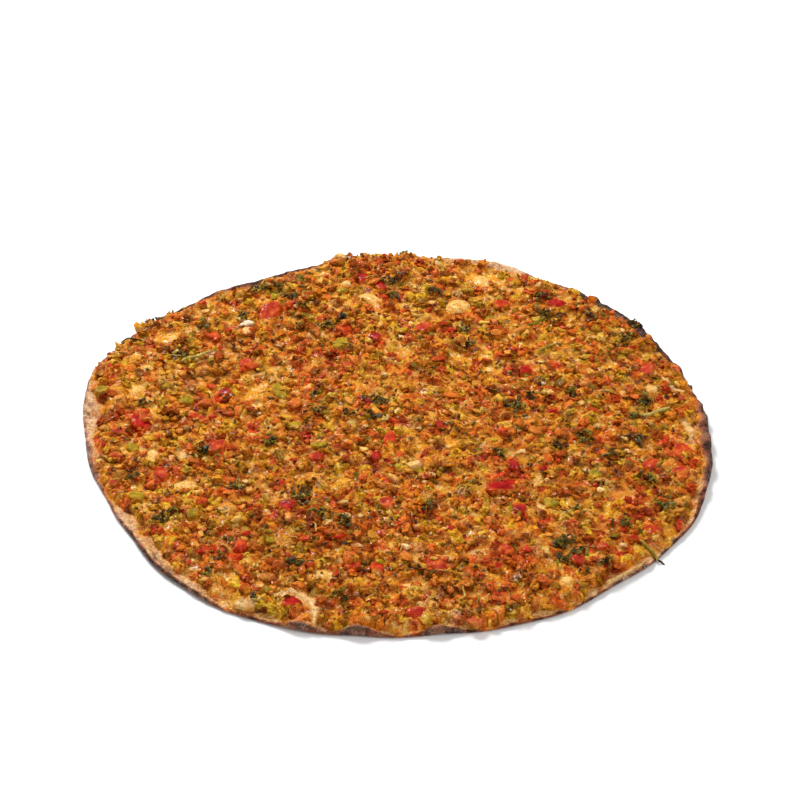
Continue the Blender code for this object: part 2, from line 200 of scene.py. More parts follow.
# Smooth cream and yellow patches between the crumbs: x, y, length and width in mm, turn in degrees.
SPOTS = (
    (-143, -5, 7, 6, 60), (-74, 23, 8, 4, 10), (-128, 28, 14, 8, 10), (-83, 92, 9, 4, -20),
    (-79, 70, 7, 4, 0), (13, -20, 10, 7, 20), (105, 46, 9, 7, 0), (112, 30, 8, 6, 30), (-102, -48, 9, 6, 0),
    (30, 55, 12, 7, 0), (-76, 80, 9, 6, 20), (-98, 93, 12, 8, 30), (-85, 85, 14, 6, 40),
    (-33, 98, 12, 5, -55), (22, 136, 8, 5, 0), (54, 87, 9, 6, 10), (97, 76, 7, 5, 60), (-131, 54, 8, 6, 45),
    (-90, 30, 7, 4, 0), (-75, 37, 12, 5, 20), (-68, 13, 9, 6, 40), (-73, 20, 10, 6, -10),
    (-68, 36, 8, 5, 0), (-69, -11, 7, 5, 30), (-25, -44, 12, 8, 10), (27, -44, 13, 5, 30),
    (-3, 57, 8, 5, 0), (26, -18, 8, 6, 0), (35, -12, 9, 8, 0), (-77, -114, 11, 6, -30),
    (-60, -118, 9, 5, -20), (-22, -116, 7, 5, 0), (-5, -115, 7, 5, 20), (4, -119, 7, 4, 0),
    (122, -81, 9, 5, 60), (120, -87, 7, 4, 50), (57, -24, 8, 5, 0), (66, -64, 11, 7, 10),
    (136, 26, 8, 6, 80), (118, 17, 6, 4, 0), (46, 125, 21, 11, -15), (-116, 70, 16, 10, 20),
    (-134, 20, 17, 7, 15), (-84, 2, 13, 8, -20), (-127, -20, 11, 8, 30), (-100, 19, 10, 7, 0),
    (-68, 28, 18, 9, 60), (-90, -7, 8, 6, 0), (86, 70, 12, 7, 20), (64, 64, 15, 8, 10), (40, 52, 16, 8, 0),
    (104, 12, 9, 6, 0), (-8, 82, 11, 6, 20), (-30, 118, 12, 6, 10), (-136, -36, 8, 6, 70),
    (-120, 10, 16, 7, 10), (44, 44, 9, 7, 30), (-40, 130, 12, 5, 20), (92, -57, 6, 4, 0), (2, -62, 9, 5, 0),
    (-10, -52, 9, 6, 0), (58, 133, 10, 5, -20), (90, 52, 10, 5, 40), (-112, -62, 8, 5, 0),
)

# Small pieces that stand out: x, y, length and width in mm, turn in degrees.
SMALL_PIECES = {
    "deep_red_bits": (
        (-8, 147, 5, 3, 10), (16, 92, 4, 3, 0), (-131, -12, 9, 2.5, -15), (34, -138, 6, 4, 0),
        (-120, 92, 5, 3, 30), (-31, -85, 5, 3, 20), (68, -40, 6, 4, 60), (109, -73, 4, 3, 0),
        (92, -109, 4, 3.5, 0), (-53, 97, 4, 3, 0), (108, -62, 6, 4, 30), (-14, 14, 4, 3, 0),
        (86, -57, 6, 3, 20), (75, 6, 5, 3, 0), (118, 58, 5, 3, 0),
    ),
    "red_bits": (
        (-100, 97, 6, 4, 0), (-88, 79, 5, 4, 20), (-17, 141, 6, 4, 0), (5, 132, 5, 4, 0),
        (32, 137, 5, 3, 0), (24, 80, 5, 3, 40), (27, 75, 4, 3, 0), (57, 57, 6, 4, 0), (68, 108, 6, 4, -30),
        (-131, -48, 5, 3, 60), (-98, 2, 6, 4, 0), (-88, 2, 5, 4, 20), (-71, 6, 6, 3, 0),
        (-37, 35, 6, 4, 30), (-27, 27, 4, 3, 0), (24, 5, 5, 3, 0), (-18, 3, 5, 4, 0), (-43, -13, 5, 3, 0),
        (-37, -37, 6, 4, 20), (-26, -88, 5, 3, 0), (-41, -90, 5, 3, 0), (-31, -92, 4, 3, 0),
        (-6, -86, 6, 4, 0), (45, -110, 4, 3, 0), (112, 24, 6, 3, 60), (131, 24, 4, 3, 0),
        (94, -35, 6, 4, 0), (58, -97, 5, 3, 0), (106, -90, 5, 3, 0), (92, -95, 6, 4, 0),
        (-86, -98, 6, 4, 0), (-68, -86, 5, 4, 0), (-64, -59, 8, 5, 30), (76, -77, 6, 2.5, 20),
        (21, -5, 6, 4, 0), (-122, -2, 13, 5, -14), (-114, -14, 7, 4, 10),
    ),
    "orange_bits": (
        (-3, 136, 8, 6, 0), (35, -12, 5, 5, 0), (62, 74, 8, 5, 20), (50, 68, 7, 5, -20),
        (-60, 120, 6, 4, 10), (-92, 12, 8, 5, 0), (-12, 118, 7, 5, 0), (4, -104, 8, 5, 0),
        (-20, -104, 8, 6, 30), (126, -36, 7, 5, 60),
    ),
    "green_bits": (
        (-36, -15, 5, 4, 0), (83, 5, 6, 2.5, 20), (95, 12, 7, 2.5, -30), (36, 108, 6, 4, 0),
        (-28, 110, 6, 4, 0), (-139, 52, 5, 4, 0), (-57, -88, 5, 3, 0), (-83, -76, 5, 3, 30),
        (70, -63, 7, 5, 0), (0, -37, 5, 4, 0), (-56, -124, 5, 4, 0), (-63, 106, 6, 4, 0),
        (42, 77, 8, 3, 30), (-104, 72, 7, 4, 60),
    ),
    "cream_bits": (
        (113, 75, 4, 2.5, 20), (2, 67, 4, 3, 0), (98, 68, 5, 3, 0), (-2, -45, 6, 5, 0), (16, -18, 4, 3, 0),
        (-88, -79, 5, 2, 50), (32, -2, 6, 2, 20), (-73, -76, 5, 4, 0), (-36, -115, 5, 4, 0),
        (3, -94, 6, 4, 0), (10, -132, 6, 4, 0), (-23, -76, 5, 4, 0), (86, -27, 5, 4, 0), (71, 29, 4, 3, 0),
        (95, -5, 5, 4, 0), (101, -94, 4, 3, 0), (74, 20, 6, 4, 0), (-76, 80, 7, 4, 20), (-98, 93, 6, 3, 10),
        (57, -24, 6, 4, 0), (-69, -11, 5, 3, 0), (9, -36, 7, 6, 0), (-68, 36, 6, 3, 20), (93, -55, 4, 3, 0),
        (22, 136, 5, 3, 0),
    ),
}

# Clusters of dark herb scraps: x, y and reach in mm, number of scraps.
HERB_CLUSTERS = (
    (-126, 88, 4, 9), (-73, 112, 4, 9), (-63, 113, 4, 8), (-56, 106, 4, 9), (-98, 80, 5, 14),
    (-78, 85, 4, 8), (-3, 119, 5, 12), (18, 108, 4, 8), (-2, 105, 4, 8), (-28, 85, 4, 7), (-36, 79, 4, 9),
    (-48, 96, 4, 8), (34, 74, 4, 8), (36, 62, 4, 9), (74, 103, 4, 9), (75, 90, 4, 12), (80, 82, 4, 9),
    (114, 66, 6, 16), (100, 87, 4, 10), (122, 85, 5, 12), (-108, 53, 4, 12), (-124, 13, 4, 7),
    (-122, -43, 4, 9), (-92, -24, 4, 9), (-59, -17, 4, 10), (-74, -51, 5, 16), (-40, 21, 4, 10),
    (-8, 15, 4, 9), (-22, 3, 4, 7), (-38, 6, 4, 7), (-11, 4, 4, 7), (47, -27, 4, 8), (57, 10, 5, 20),
    (65, 19, 4, 8), (85, 20, 4, 7), (120, 13, 5, 14), (115, 4, 4, 9), (114, -16, 4, 12), (117, -47, 5, 12),
    (122, -66, 5, 12), (82, -69, 4, 9), (103, -79, 4, 10), (73, -92, 4, 12), (80, -98, 5, 14),
    (73, -103, 4, 9), (92, -107, 4, 9), (14, -66, 4, 12), (-34, -70, 5, 14), (-46, -106, 4, 8),
    (-79, -101, 4, 8), (-84, -112, 3, 6), (-107, -74, 5, 10), (-63, -126, 3, 6), (-25, -128, 4, 8),
    (-46, -60, 5, 10), (-24, -78, 4, 10), (88, -14, 6, 12), (76, -22, 6, 10), (100, -30, 5, 10),
)

# Stalks and fibres lying on top: start and end x and y, sideways bow and thickness in mm, and tone.
STALKS = (
    (-107, 46, -93, 54, 1.2, 1.6, "pale"), (63, 77, 75, 85, -1.0, 1.3, "green"),
    (70, 52, 79, 63, 1.0, 1.6, "olive"), (116, 3, 131, 8, -2.0, 1.9, "pale"),
    (28, -122, 27, -133, 1.5, 1.1, "straw"), (-38, -78, -37, -85, 0.8, 0.9, "straw"),
    (-80, -93, -74, -97, 0.8, 0.9, "straw"), (108, -91, 116, -98, 0.5, 1.7, "olive"),
    (-139, 67, -128, 66, 0.8, 0.9, "dark"), (-18, -56, -9, -48, 2.0, 0.7, "straw"),
    (25, -60, 31, -50, 1.6, 0.7, "straw"), (27, -59, 28, -48, -1.4, 0.7, "olive"),
    (30, -58, 36, -50, 1.0, 0.6, "straw"), (-41, -66, -35, -60, 1.2, 0.7, "olive"),
    (80, 86, 86, 88, 0.6, 0.9, "dark"), (-28, 62, -20, 57, 1.0, 0.7, "olive"),
    (55, 24, 62, 30, 1.0, 0.8, "olive"), (2, 145, 8, 151, 1.0, 1.5, "green"),
    (115, -97, 119, -99, 0.0, 1.0, "dark"),
)
STALK_TINTS = {"olive": "96802C", "green": "7A721E", "straw": "C09A48", "pale": "B4A452", "dark": "2F2A16"}

# Camera: far enough for a mild perspective, looking down at a little over a third of a right angle.
CAMERA_DISTANCE = 1.1
CAMERA_ELEVATION = 37.3
CAMERA_LENS_MM = 103.06
CAMERA_SENSOR_MM = 36.0
AIM = (1.2 * MM, 24.4 * MM)

# Lights: place and size in metres, power in watts; both aim at the middle of the scene.
LIGHTS = {"key": ((-0.6, 0.9, 1.3), 0.7, 33), "fill": ((0.9, -0.8, 1.2), 1.2, 12)}
SKY_STRENGTH = 0.46
FLOOR_SIZE = 6.0
FLOOR_GREY = 0.86


# ---- outline and relief

def bump_sum(degrees, rows, unit=MM):
    """The sum of a table's smooth bumps at each angle."""
    total = np.zeros_like(degrees)
    for middle, half_width, height in rows:
        away = (degrees - middle + 180.0) % 360.0 - 180.0
        total += height * unit * np.exp(-0.5 * (away / half_width) ** 2)
    return total


def outline_radius(degrees):
    return BREAD_RADIUS + bump_sum(degrees, OUTLINE_BUMPS) + 0.35 * MM * np.sin(np.radians(degrees) * 23)


def rim_width(degrees):
    return RIM_WIDTH + bump_sum(degrees, RIM_WIDTH_BUMPS) + 0.5 * MM * np.sin(np.radians(degrees) * 17 + 1.0)


def edge_height(degrees):
    wave = 0.2 * MM * np.sin(np.radians(degrees) * 11) + 0.15 * MM * np.sin(np.radians(degrees) * 29)
    return EDGE_HEIGHT + bump_sum(degrees, EDGE_HEIGHT_ROWS) + wave


def bare_width(degrees):
    return BARE_WIDTH + bump_sum(degrees, BARE_ROWS)


def rim_bake(degrees):
    """How dark the rim is baked, as a share."""
    return RIM_BAKE + bump_sum(degrees, RIM_BAKE_ROWS, 1.0)


def edge_wander(x, y):
    """How much nearer to the rim the topping comes at some places than at others."""
    return 3.2 * MM * flat_noise(x, y, 6, 35)


def bread_top(degrees, inset):
    """Height of the bread's top at a distance in from its edge."""
    width = rim_width(degrees)
    rise = edge_height(degrees) - BREAD_THICKNESS
    return BREAD_THICKNESS + rise * smooth_step(width, 0.3 * width, inset)


def outline_middle():
    degrees = np.arange(360.0)
    x = outline_radius(degrees) * np.cos(np.radians(degrees))
    y = outline_radius(degrees) * np.sin(np.radians(degrees))
    return np.array(((x.min() + x.max()) / 2, (y.min() + y.max()) / 2, 0.0))


MIDDLE = outline_middle()


def angle_of(x, y):
    return np.degrees(np.arctan2(y, x)) % 360.0


def smooth_step(low, high, value):
    share = np.clip((value - low) / (high - low), 0.0, 1.0)
    return share * share * (3.0 - 2.0 * share)


def noise_at(points, size, seed):
    """Smooth noise, about -1 to 1, that changes over the given size."""
    shift = Vector((seed * 7.3, seed * 3.1, seed * 11.7))
    return np.array([noise.noise(Vector(point) / size + shift) for point in points.tolist()])


def noises(points, *rows):
    """Smooth noise for each of the rows, which hold a size in mm and a seed."""
    return [noise_at(points, size * MM, seed) for size, seed in rows]


def flat_noise(x, y, size, seed):
    """Smooth noise over the plan that changes over a size in mm."""
    return noise_at(np.stack((x, y, np.zeros_like(x)), axis=1), size * MM, seed)


def warped(x, y, shift, size, seed):
    """Places moved by up to about the shift, in a way that changes over a size in mm."""
    return x + shift * flat_noise(x, y, size, seed), y + shift * flat_noise(x, y, size, seed + 1)


def bowed_path(row, steps):
    """Points along a bowed line, how far along it each one is, and the direction across it."""
    start_x, start_y, end_x, end_y, bow = row[:5]
    along = np.linspace(0, 1, steps)
    run = np.array((end_x - start_x, end_y - start_y)) * MM
    across = np.array((-run[1], run[0])) / np.hypot(*run)
    path = np.array((start_x, start_y)) * MM + along[:, None] * run
    return path + (4 * bow * MM * along * (1 - along))[:, None] * across, along, across


def oval_share(x, y, row):
    """1 in the middle of the oval that a table's row describes, falling to 0 on its edge."""
    angle = math.radians(row[-1])
    dx = x - row[0] * MM
    dy = y - row[1] * MM
    along = (dx * math.cos(angle) + dy * math.sin(angle)) / (row[2] * MM / 2)
    across = (dy * math.cos(angle) - dx * math.sin(angle)) / (row[3] * MM / 2)
    return np.clip(1.0 - along ** 2 - across ** 2, 0.0, 1.0)


def blister_share(x, y):
    """How far each point lies into a blister, 0 outside and 1 on its tip, and the blister's height there."""
    shares = [np.sqrt(oval_share(x, y, row)) for row in BLISTERS]
    heights = [share * row[4] * MM for share, row in zip(shares, BLISTERS)]
    return np.max(shares, axis=0), np.max(heights, axis=0)


def spot_share(x, y):
    """How far each point lies into one of the smooth patches, whose edges are uneven."""
    warped_x, warped_y = warped(x, y, 1.6 * MM, 4, 31)
    share = np.zeros_like(x)
    for row in SPOTS:
        share = np.maximum(share, oval_share(warped_x, warped_y, row))
    return smooth_step(0.0, 0.5, share)


def pool_share(x, y):
    """Where the sauce lies smooth between the crumbs, at places of no particular shape."""
    return 0.85 * smooth_step(0.06, 0.32, flat_noise(x, y, 7.0, 44) + 0.25 * flat_noise(x, y, 2.0, 45))


def region_tones(x, y):
    """How much redder, darker or paler than plain the topping is at each point, as a factor of its tint."""
    warped_x, warped_y = warped(x, y, 5 * MM, 9, 33)
    factor = np.ones((len(x), 3))
    for tone, rows in REGIONS.items():
        for middle_x, middle_y, reach, share in rows:
            away = np.hypot(warped_x - middle_x * MM, warped_y - middle_y * MM) / (reach * MM)
            amount = share * np.exp(-1.4 * away ** 2)
            factor *= np.array(TONES[tone]) ** amount[:, None]
    for number, (tone, size, share) in enumerate(TONE_PATCHES):
        amount = share * smooth_step(0.02, 0.42, flat_noise(x, y, size, 80 + number))
        factor *= np.array(TONES[tone]) ** amount[:, None]
    return factor


FOLD_STEPS = 25   # points along a ridge of dough


def fold_share(x, y):
    """How far each point lies into a ridge of dough, 1 on its crest, and the height of the ridge there."""
    share = np.zeros_like(x)
    height = np.zeros_like(x)
    for row in DOUGH_FOLDS:
        width, rise = row[5:]
        path, along, _ = bowed_path(row, FOLD_STEPS)
        girth = width * MM / 2 * (0.45 + 0.55 * np.sin(along * math.pi))
        away = np.min([np.hypot(x - px, y - py) / reach for (px, py), reach in zip(path, girth)], axis=0)
        here = np.clip(1.0 - away ** 2, 0.0, 1.0)
        share = np.maximum(share, here)
        height = np.maximum(height, here * rise * MM)
    return share, height


CORE_RISE = 1.7 * MM
CORE_HUMPS = ((12.0, 0.9), (6.0, 0.7))  # size and height in mm
CELL_SPAN = 360                         # width in mm of the square that the lumps fill
# The lumps of the topping: size and height in mm, and seed, of the clumps of mince and soft bits, of the
# crumbs that make up the clumps, and of the grains on the crumbs.
CELLS = ((5.8, 1.9, 1), (2.7, 0.9, 2), (1.4, 0.45, 3))


def crumb_cells(x, y, size, seed):
    """The lump each point belongs to: how far from its crevices, four random numbers, and its own slope."""
    generator = np.random.default_rng(seed)
    count = int(CELL_SPAN / size)
    middles = generator.uniform(0.0, 1.0, (count, count, 2))
    own = generator.random((count, count, 4))
    wander = [0.5 * size * MM * flat_noise(x, y, size * 0.8, seed + shift) for shift in (0.3, 0.7)]
    place = (np.stack((x, y), 1) + np.stack(wander, 1)) / (size * MM) + count / 2
    steps = np.array([(column, row) for column in (-1, 0, 1) for row in (-1, 0, 1)])
    near = np.clip(place.astype(int) + steps[:, None], 0, count - 1)
    offset = place - near - middles[near[..., 0], near[..., 1]]
    away = np.hypot(offset[..., 0], offset[..., 1])
    nearest = (np.argmin(away, axis=0), np.arange(len(x)))
    first, second = np.sort(away, axis=0)[:2]
    own = own[near[nearest][:, 0], near[nearest][:, 1]]
    slope = ((own[:, 2:] - 0.5) * 2 * offset[nearest]).sum(axis=1)
    return np.clip((second - first) / 0.5, 0.0, 1.0), own, slope


def core_height(x, y):
    """Height of the topping's core over the table."""
    rise = np.full_like(x, CORE_RISE)
    for number, (size, height) in enumerate(CORE_HUMPS):
        rise += height * MM * flat_noise(x, y, size, number)
    dome_share, dome = blister_share(x, y)
    smooth = np.max((spot_share(x, y), smooth_step(0.1, 0.5, dome_share), 0.85 * pool_share(x, y)), axis=0)
    rough = 1.0 - 0.9 * smooth
    for size, height, seed in CELLS:
        depth, own, slope = crumb_cells(x, y, size, seed)
        rise += height * MM * rough * np.sqrt(depth) * (0.35 + 0.65 * own[:, 0] + 0.9 * slope)
        if seed == CELLS[0][2]:
            rough = (1.0 - smooth) * np.where(own[:, 3] < SOFT_CLUMPS, 0.35, 1.0)
    rise += 0.15 * MM * flat_noise(x, y, 1.0, 37)
    degrees = angle_of(x, y)
    to_edge = outline_radius(degrees) - np.hypot(x, y)
    ragged_edge = to_edge + edge_wander(x, y) + 0.6 * MM * flat_noise(x, y, 2.2, 36)
    bare = bare_width(degrees)
    inside = smooth_step(bare - 0.8 * MM, bare + 5.0 * MM, ragged_edge)
    low = bread_top(degrees, to_edge) - 0.9 * MM
    base = BREAD_THICKNESS + GAP
    full = base + np.maximum(rise, dome * 0.95)
    fold, fold_height = fold_share(x, y)
    plain = base + 0.6 * CORE_RISE
    level = low + (plain - low) * inside + (full - plain) * smooth_step(0.0, 0.4, inside)
    ridge = BREAD_THICKNESS + 0.3 * MM + fold_height
    return level + (np.maximum(level, ridge) - level) * smooth_step(0.0, 0.25, fold)


# ---- meshes

def linear(code):
    """A colour written as six hexadecimal digits, as linear light."""
    values = np.array([int(code[place:place + 2], 16) for place in (0, 2, 4)]) / 255.0
    return np.where(values <= 0.04045, values / 12.92, ((values + 0.055) / 1.055) ** 2.4)


def layered(tints, *layers):
    """Tints with layers over them in turn, each a colour and how far it covers each point."""
    for code, share in layers:
        tints = tints + (linear(code) - tints) * np.clip(share, 0.0, 1.0)[:, None]
    return tints


def build(name, vertices, faces, tints, material, replaced=(), slot="meat_topping", crease=0, crumbly=1.0):
    """One piece from its points, faces and the tint of each point, riding on the only body.

    A crease, in degrees, keeps edges sharper than it sharp. Crumbly, for one point or for each,
    is how far the surface is broken up into crumbs.
    """
    mesh = bpy.data.meshes.new(name)
    mesh.from_pydata((vertices - MIDDLE).tolist(), [], faces)
    layer = mesh.color_attributes.new("tint", "FLOAT_COLOR", "POINT")
    colours = np.ones((len(vertices), 4), np.float32)
    colours[:, :3] = tints
    colours[:, 3] = crumbly
    layer.data.foreach_set("color", colours.ravel())
    mesh.materials.append(material)
    mesh.shade_smooth()
    if crease:
        mesh.set_sharp_from_angle(angle=math.radians(crease))
    mesh.update()
    piece = bpy.data.objects.new(name, mesh)
    bpy.context.scene.collection.objects.link(piece)
    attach(piece, "root")
    if replaced:
        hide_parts(*replaced)


def grid_faces(rows, columns, closed):
    """Quads of a grid of points, numbered row by row, whose columns may close into a ring."""
    faces = []
    for row in range(rows - 1):
        for column in range(columns if closed else columns - 1):
            following = (column + 1) % columns
            low = row * columns
            high = low + columns
            faces.append((low + column, low + following, high + following, high + column))
    return faces


def disc_grid(steps):
    """A square grid of points pressed into a unit disc, and how far out each one is."""
    side = np.linspace(-1.0, 1.0, steps)
    a, b = (part.ravel() for part in np.meshgrid(side, side))
    wide = np.abs(a) >= np.abs(b)
    safe_a = np.where(a == 0, 1, a)
    safe_b = np.where(b == 0, 1, b)
    turn = np.where(wide, math.pi / 4 * b / safe_a, math.pi / 2 - math.pi / 4 * a / safe_b)
    radius = np.where(wide, a, b)
    return radius * np.cos(turn), radius * np.sin(turn), np.abs(radius)


def border_of(rows, columns):
    """The outer ring of a grid of points, in order."""
    last_row = rows - 1
    last_column = columns - 1
    ring = list(range(last_column))
    ring += [row * columns + last_column for row in range(last_row)]
    ring += [last_row * columns + column for column in range(last_column, 0, -1)]
    ring += [row * columns for row in range(last_row, 0, -1)]
    return ring


def closed_sheet(points, rows, columns, level, *values):
    """A grid of points closed by a flat underside: points, faces and the values of all its points."""
    border = border_of(rows, columns)
    base = len(points)
    faces = grid_faces(rows, columns, False)
    for place in range(len(border)):
        following = (place + 1) % len(border)
        faces.append((border[following], border[place], base + place, base + following))
    faces.append(tuple(range(base + len(border) - 1, base - 1, -1)))
    lower = points[border] * (1, 1, 0) + (0, 0, level)
    closed = [np.concatenate((value, value[border])) for value in values]
    return np.concatenate((points, lower)), faces, *closed


# ---- materials

def fill(tree, node, inputs):
    """Gives each named input of a node another node's output or a plain value."""
    for name, value in inputs.items():
        if isinstance(value, bpy.types.NodeSocket):
            tree.links.new(value, node.inputs[name])
        else:
            node.inputs[name].default_value = value
    return node


def computed(tree, kind, operation, *values):
    """What a node of this kind works out from its inputs, in order."""
    node = tree.nodes.new(kind)
    node.operation = operation
    return fill(tree, node, dict(enumerate(values))).outputs[0]


def noise_of(tree, place, size, detail, roughness=0.5):
    """Noise in the shader that changes over a size in mm."""
    node = tree.nodes.new("ShaderNodeTexNoise")
    inputs = {"Vector": place, "Scale": 1.0 / (size * MM), "Detail": detail, "Roughness": roughness}
    return fill(tree, node, inputs)


def ramp_of(tree, source, stops):
    """A colour for every value of the source, from stops of a place and a colour."""
    ramp = tree.nodes.new("ShaderNodeValToRGB")
    elements = ramp.color_ramp.elements
    while len(elements) < len(stops):
        elements.new(0.5)
    for element, (place, colour) in zip(elements, stops):
        element.position = place
        element.color = (*colour, 1)
    return fill(tree, ramp, {"Fac": source}).outputs["Color"]


def mixed(tree, first, second, share=1.0, kind="MULTIPLY"):
    mix = tree.nodes.new("ShaderNodeMix")
    mix.data_type = "RGBA"
    mix.blend_type = kind
    return fill(tree, mix, {"Factor": share, "A": first, "B": second}).outputs["Result"]


# Tones of the small crumbs in the shader, and painted light and shade round them, lighter in their middles
# and darker in the crevices: place on the ramp and factor.
CRUMB_TONES = (
    (0.0, (0.74, 0.66, 0.5)), (0.15, (0.92, 0.89, 0.82)), (0.35, (1.0, 1.0, 1.0)),
    (0.55, (1.1, 1.15, 1.25)), (0.7, (1.02, 0.99, 0.94)), (0.8, (0.9, 0.87, 0.78)),
    (0.9, (1.14, 1.22, 1.45)), (0.97, (0.78, 0.71, 0.58)),
)
CREVICE_DEPTH = -0.7   # how deep the crevices are in the bumps of the shader, as a share of a crumb
# Painted shade: crumbs a little lighter in their middles and darker towards their crevices.
PAINTED_CREVICE_SHADE = ((0.3, (1.03, 1.05, 1.1)), (0.65, (0.9, 0.83, 0.7)), (0.95, (0.66, 0.5, 0.25)))


# What all the food has in common: nearly dull, with light that sinks in a little.
FOOD_LOOK = {
    "Specular IOR Level": 0.06, "Coat Roughness": 0.12, "Subsurface Weight": 0.4,
    "Subsurface Scale": 1.0 * MM, "Subsurface Radius": (1.0, 0.4, 0.15),
}


def food_material(name, roughness, grain=0.3, grain_size=0.8, bump=0.3, wet=0.1, crumb=0.0, dust=""):
    """Each point's own tint, broken up by fine grain and, for mince, by small crumbs of uneven tone with
    painted shade in their crevices.

    Wet is how strongly the spots of oil shine; between them the surface is nearly dull. Dust is the
    colour of the flour that lies in specks where the mesh says so. Grain size and crumb are in mm.
    """
    material = bpy.data.materials.new(name)
    material.use_nodes = True
    tree = material.node_tree
    tint = tree.nodes.new("ShaderNodeAttribute")
    tint.attribute_name = "tint"
    place = tree.nodes.new("ShaderNodeTexCoord").outputs["Object"]
    fine = noise_of(tree, place, grain_size, 3.0, 0.6)
    low = (1 - grain, 1 - grain * 1.35, 1 - grain * 1.8)
    high = (1 + grain * 0.55, 1 + grain * 0.8, 1 + grain * 1.4)
    grained = ramp_of(tree, fine.outputs["Fac"], ((0.32, low), (0.68, high)))
    colour = mixed(tree, tint.outputs["Color"], grained)
    height = fine.outputs["Fac"]
    if dust:
        flour = noise_of(tree, place, 0.75, 3.0, 0.7)
        specks = ramp_of(tree, flour.outputs["Fac"], ((0.42, (0, 0, 0)), (0.66, (1, 1, 1))))
        floury = computed(tree, "ShaderNodeMath", "MULTIPLY", specks, tint.outputs["Alpha"])
        colour = mixed(tree, colour, (*linear(dust), 1), floury, "MIX")
    if crumb:
        reach = (1.6 * crumb * MM,) * 3
        warp = computed(tree, "ShaderNodeVectorMath", "MULTIPLY_ADD", fine.outputs["Color"], reach, place)
        cells = tree.nodes.new("ShaderNodeTexVoronoi")
        fill(tree, cells, {"Vector": warp, "Scale": 1.0 / (crumb * MM)})
        away = cells.outputs["Distance"]
        parts = fill(tree, tree.nodes.new("ShaderNodeSeparateColor"), {"Color": cells.outputs["Color"]})
        # The crumbs' own tones by chance, then painted shade that darkens them towards their crevices.
        for value, tones in ((parts.outputs["Red"], CRUMB_TONES), (away, PAINTED_CREVICE_SHADE)):
            colour = mixed(tree, colour, ramp_of(tree, value, tones), tint.outputs["Alpha"])
        height = computed(tree, "ShaderNodeMath", "MULTIPLY_ADD", away, CREVICE_DEPTH, height)
    bumps = tree.nodes.new("ShaderNodeBump")
    fill(tree, bumps, {"Height": height, "Strength": bump, "Distance": 0.8 * MM})
    oil = noise_of(tree, place, 2.2, 1.0).outputs["Fac"]
    fill(tree, tree.nodes["Principled BSDF"], {
        "Base Color": colour, "Roughness": roughness, "Normal": bumps.outputs["Normal"],
        "Coat Weight": ramp_of(tree, oil, ((0.5, (0, 0, 0)), (0.62, (wet, wet, wet)))), **FOOD_LOOK,
    })
    return material


# ---- bread

def bread_section(degrees, steps):
    """Insets and heights of every radial section, from the flat top round the rim to the flat underside."""
    width = rim_width(degrees)
    crest = edge_height(degrees)
    lift = np.minimum(EDGE_LIFT * (1.0 + 0.5 * np.sin(np.radians(degrees) * 5)), 0.35 * crest)
    flat = 0 * width
    top_insets = [width + 2 * MM] + [width * share for share in (1.0, 0.8, 0.62, 0.45, 0.3)]
    roll = np.clip(bump_sum(degrees, ROLL_ROWS, 1.0), 0.0, 1.0)
    stations = [(inset, bread_top(degrees, inset)) for inset in top_insets] + [
        (width * 0.15, crest * (1.0 - 0.08 * roll)), (width * 0.04, crest * (0.85 - 0.12 * roll)),
        (flat, crest * 0.45 + lift * 0.4), (0.6 * MM + flat, lift + 0.2 * MM),
        (CURL_WIDTH * 0.45 + flat, lift * 0.32), (CURL_WIDTH + flat, flat),
    ]
    along = np.linspace(0, len(stations) - 1, steps)
    return [smooth_rows(np.array(values), along) for values in zip(*stations)]


def smooth_rows(rows, along):
    """Catmull-Rom curve through rows of values."""
    low = np.clip(along.astype(int), 0, len(rows) - 2)
    share = (along - low)[:, None]
    before = rows[np.maximum(low - 1, 0)]
    start = rows[low]
    end = rows[low + 1]
    after = rows[np.minimum(low + 2, len(rows) - 1)]
    return start + 0.5 * share * (end - before + share * (
        2 * before - 5 * start + 4 * end - after + share * (3 * (start - end) + after - before)))


RIM_SIDES = 1080
RIM_STEPS = 40
TOP_RINGS = np.linspace(0.12, 0.98, 4)   # rings of the flat top under the topping, as shares of its reach
# Rings of the flat underside: number of sides, number of rings, and the shares of the reach they span.
UNDER_RINGS = ((360, 30, 0.97, 0.53), (180, 16, 0.51, 0.22), (60, 8, 0.2, 0.03))


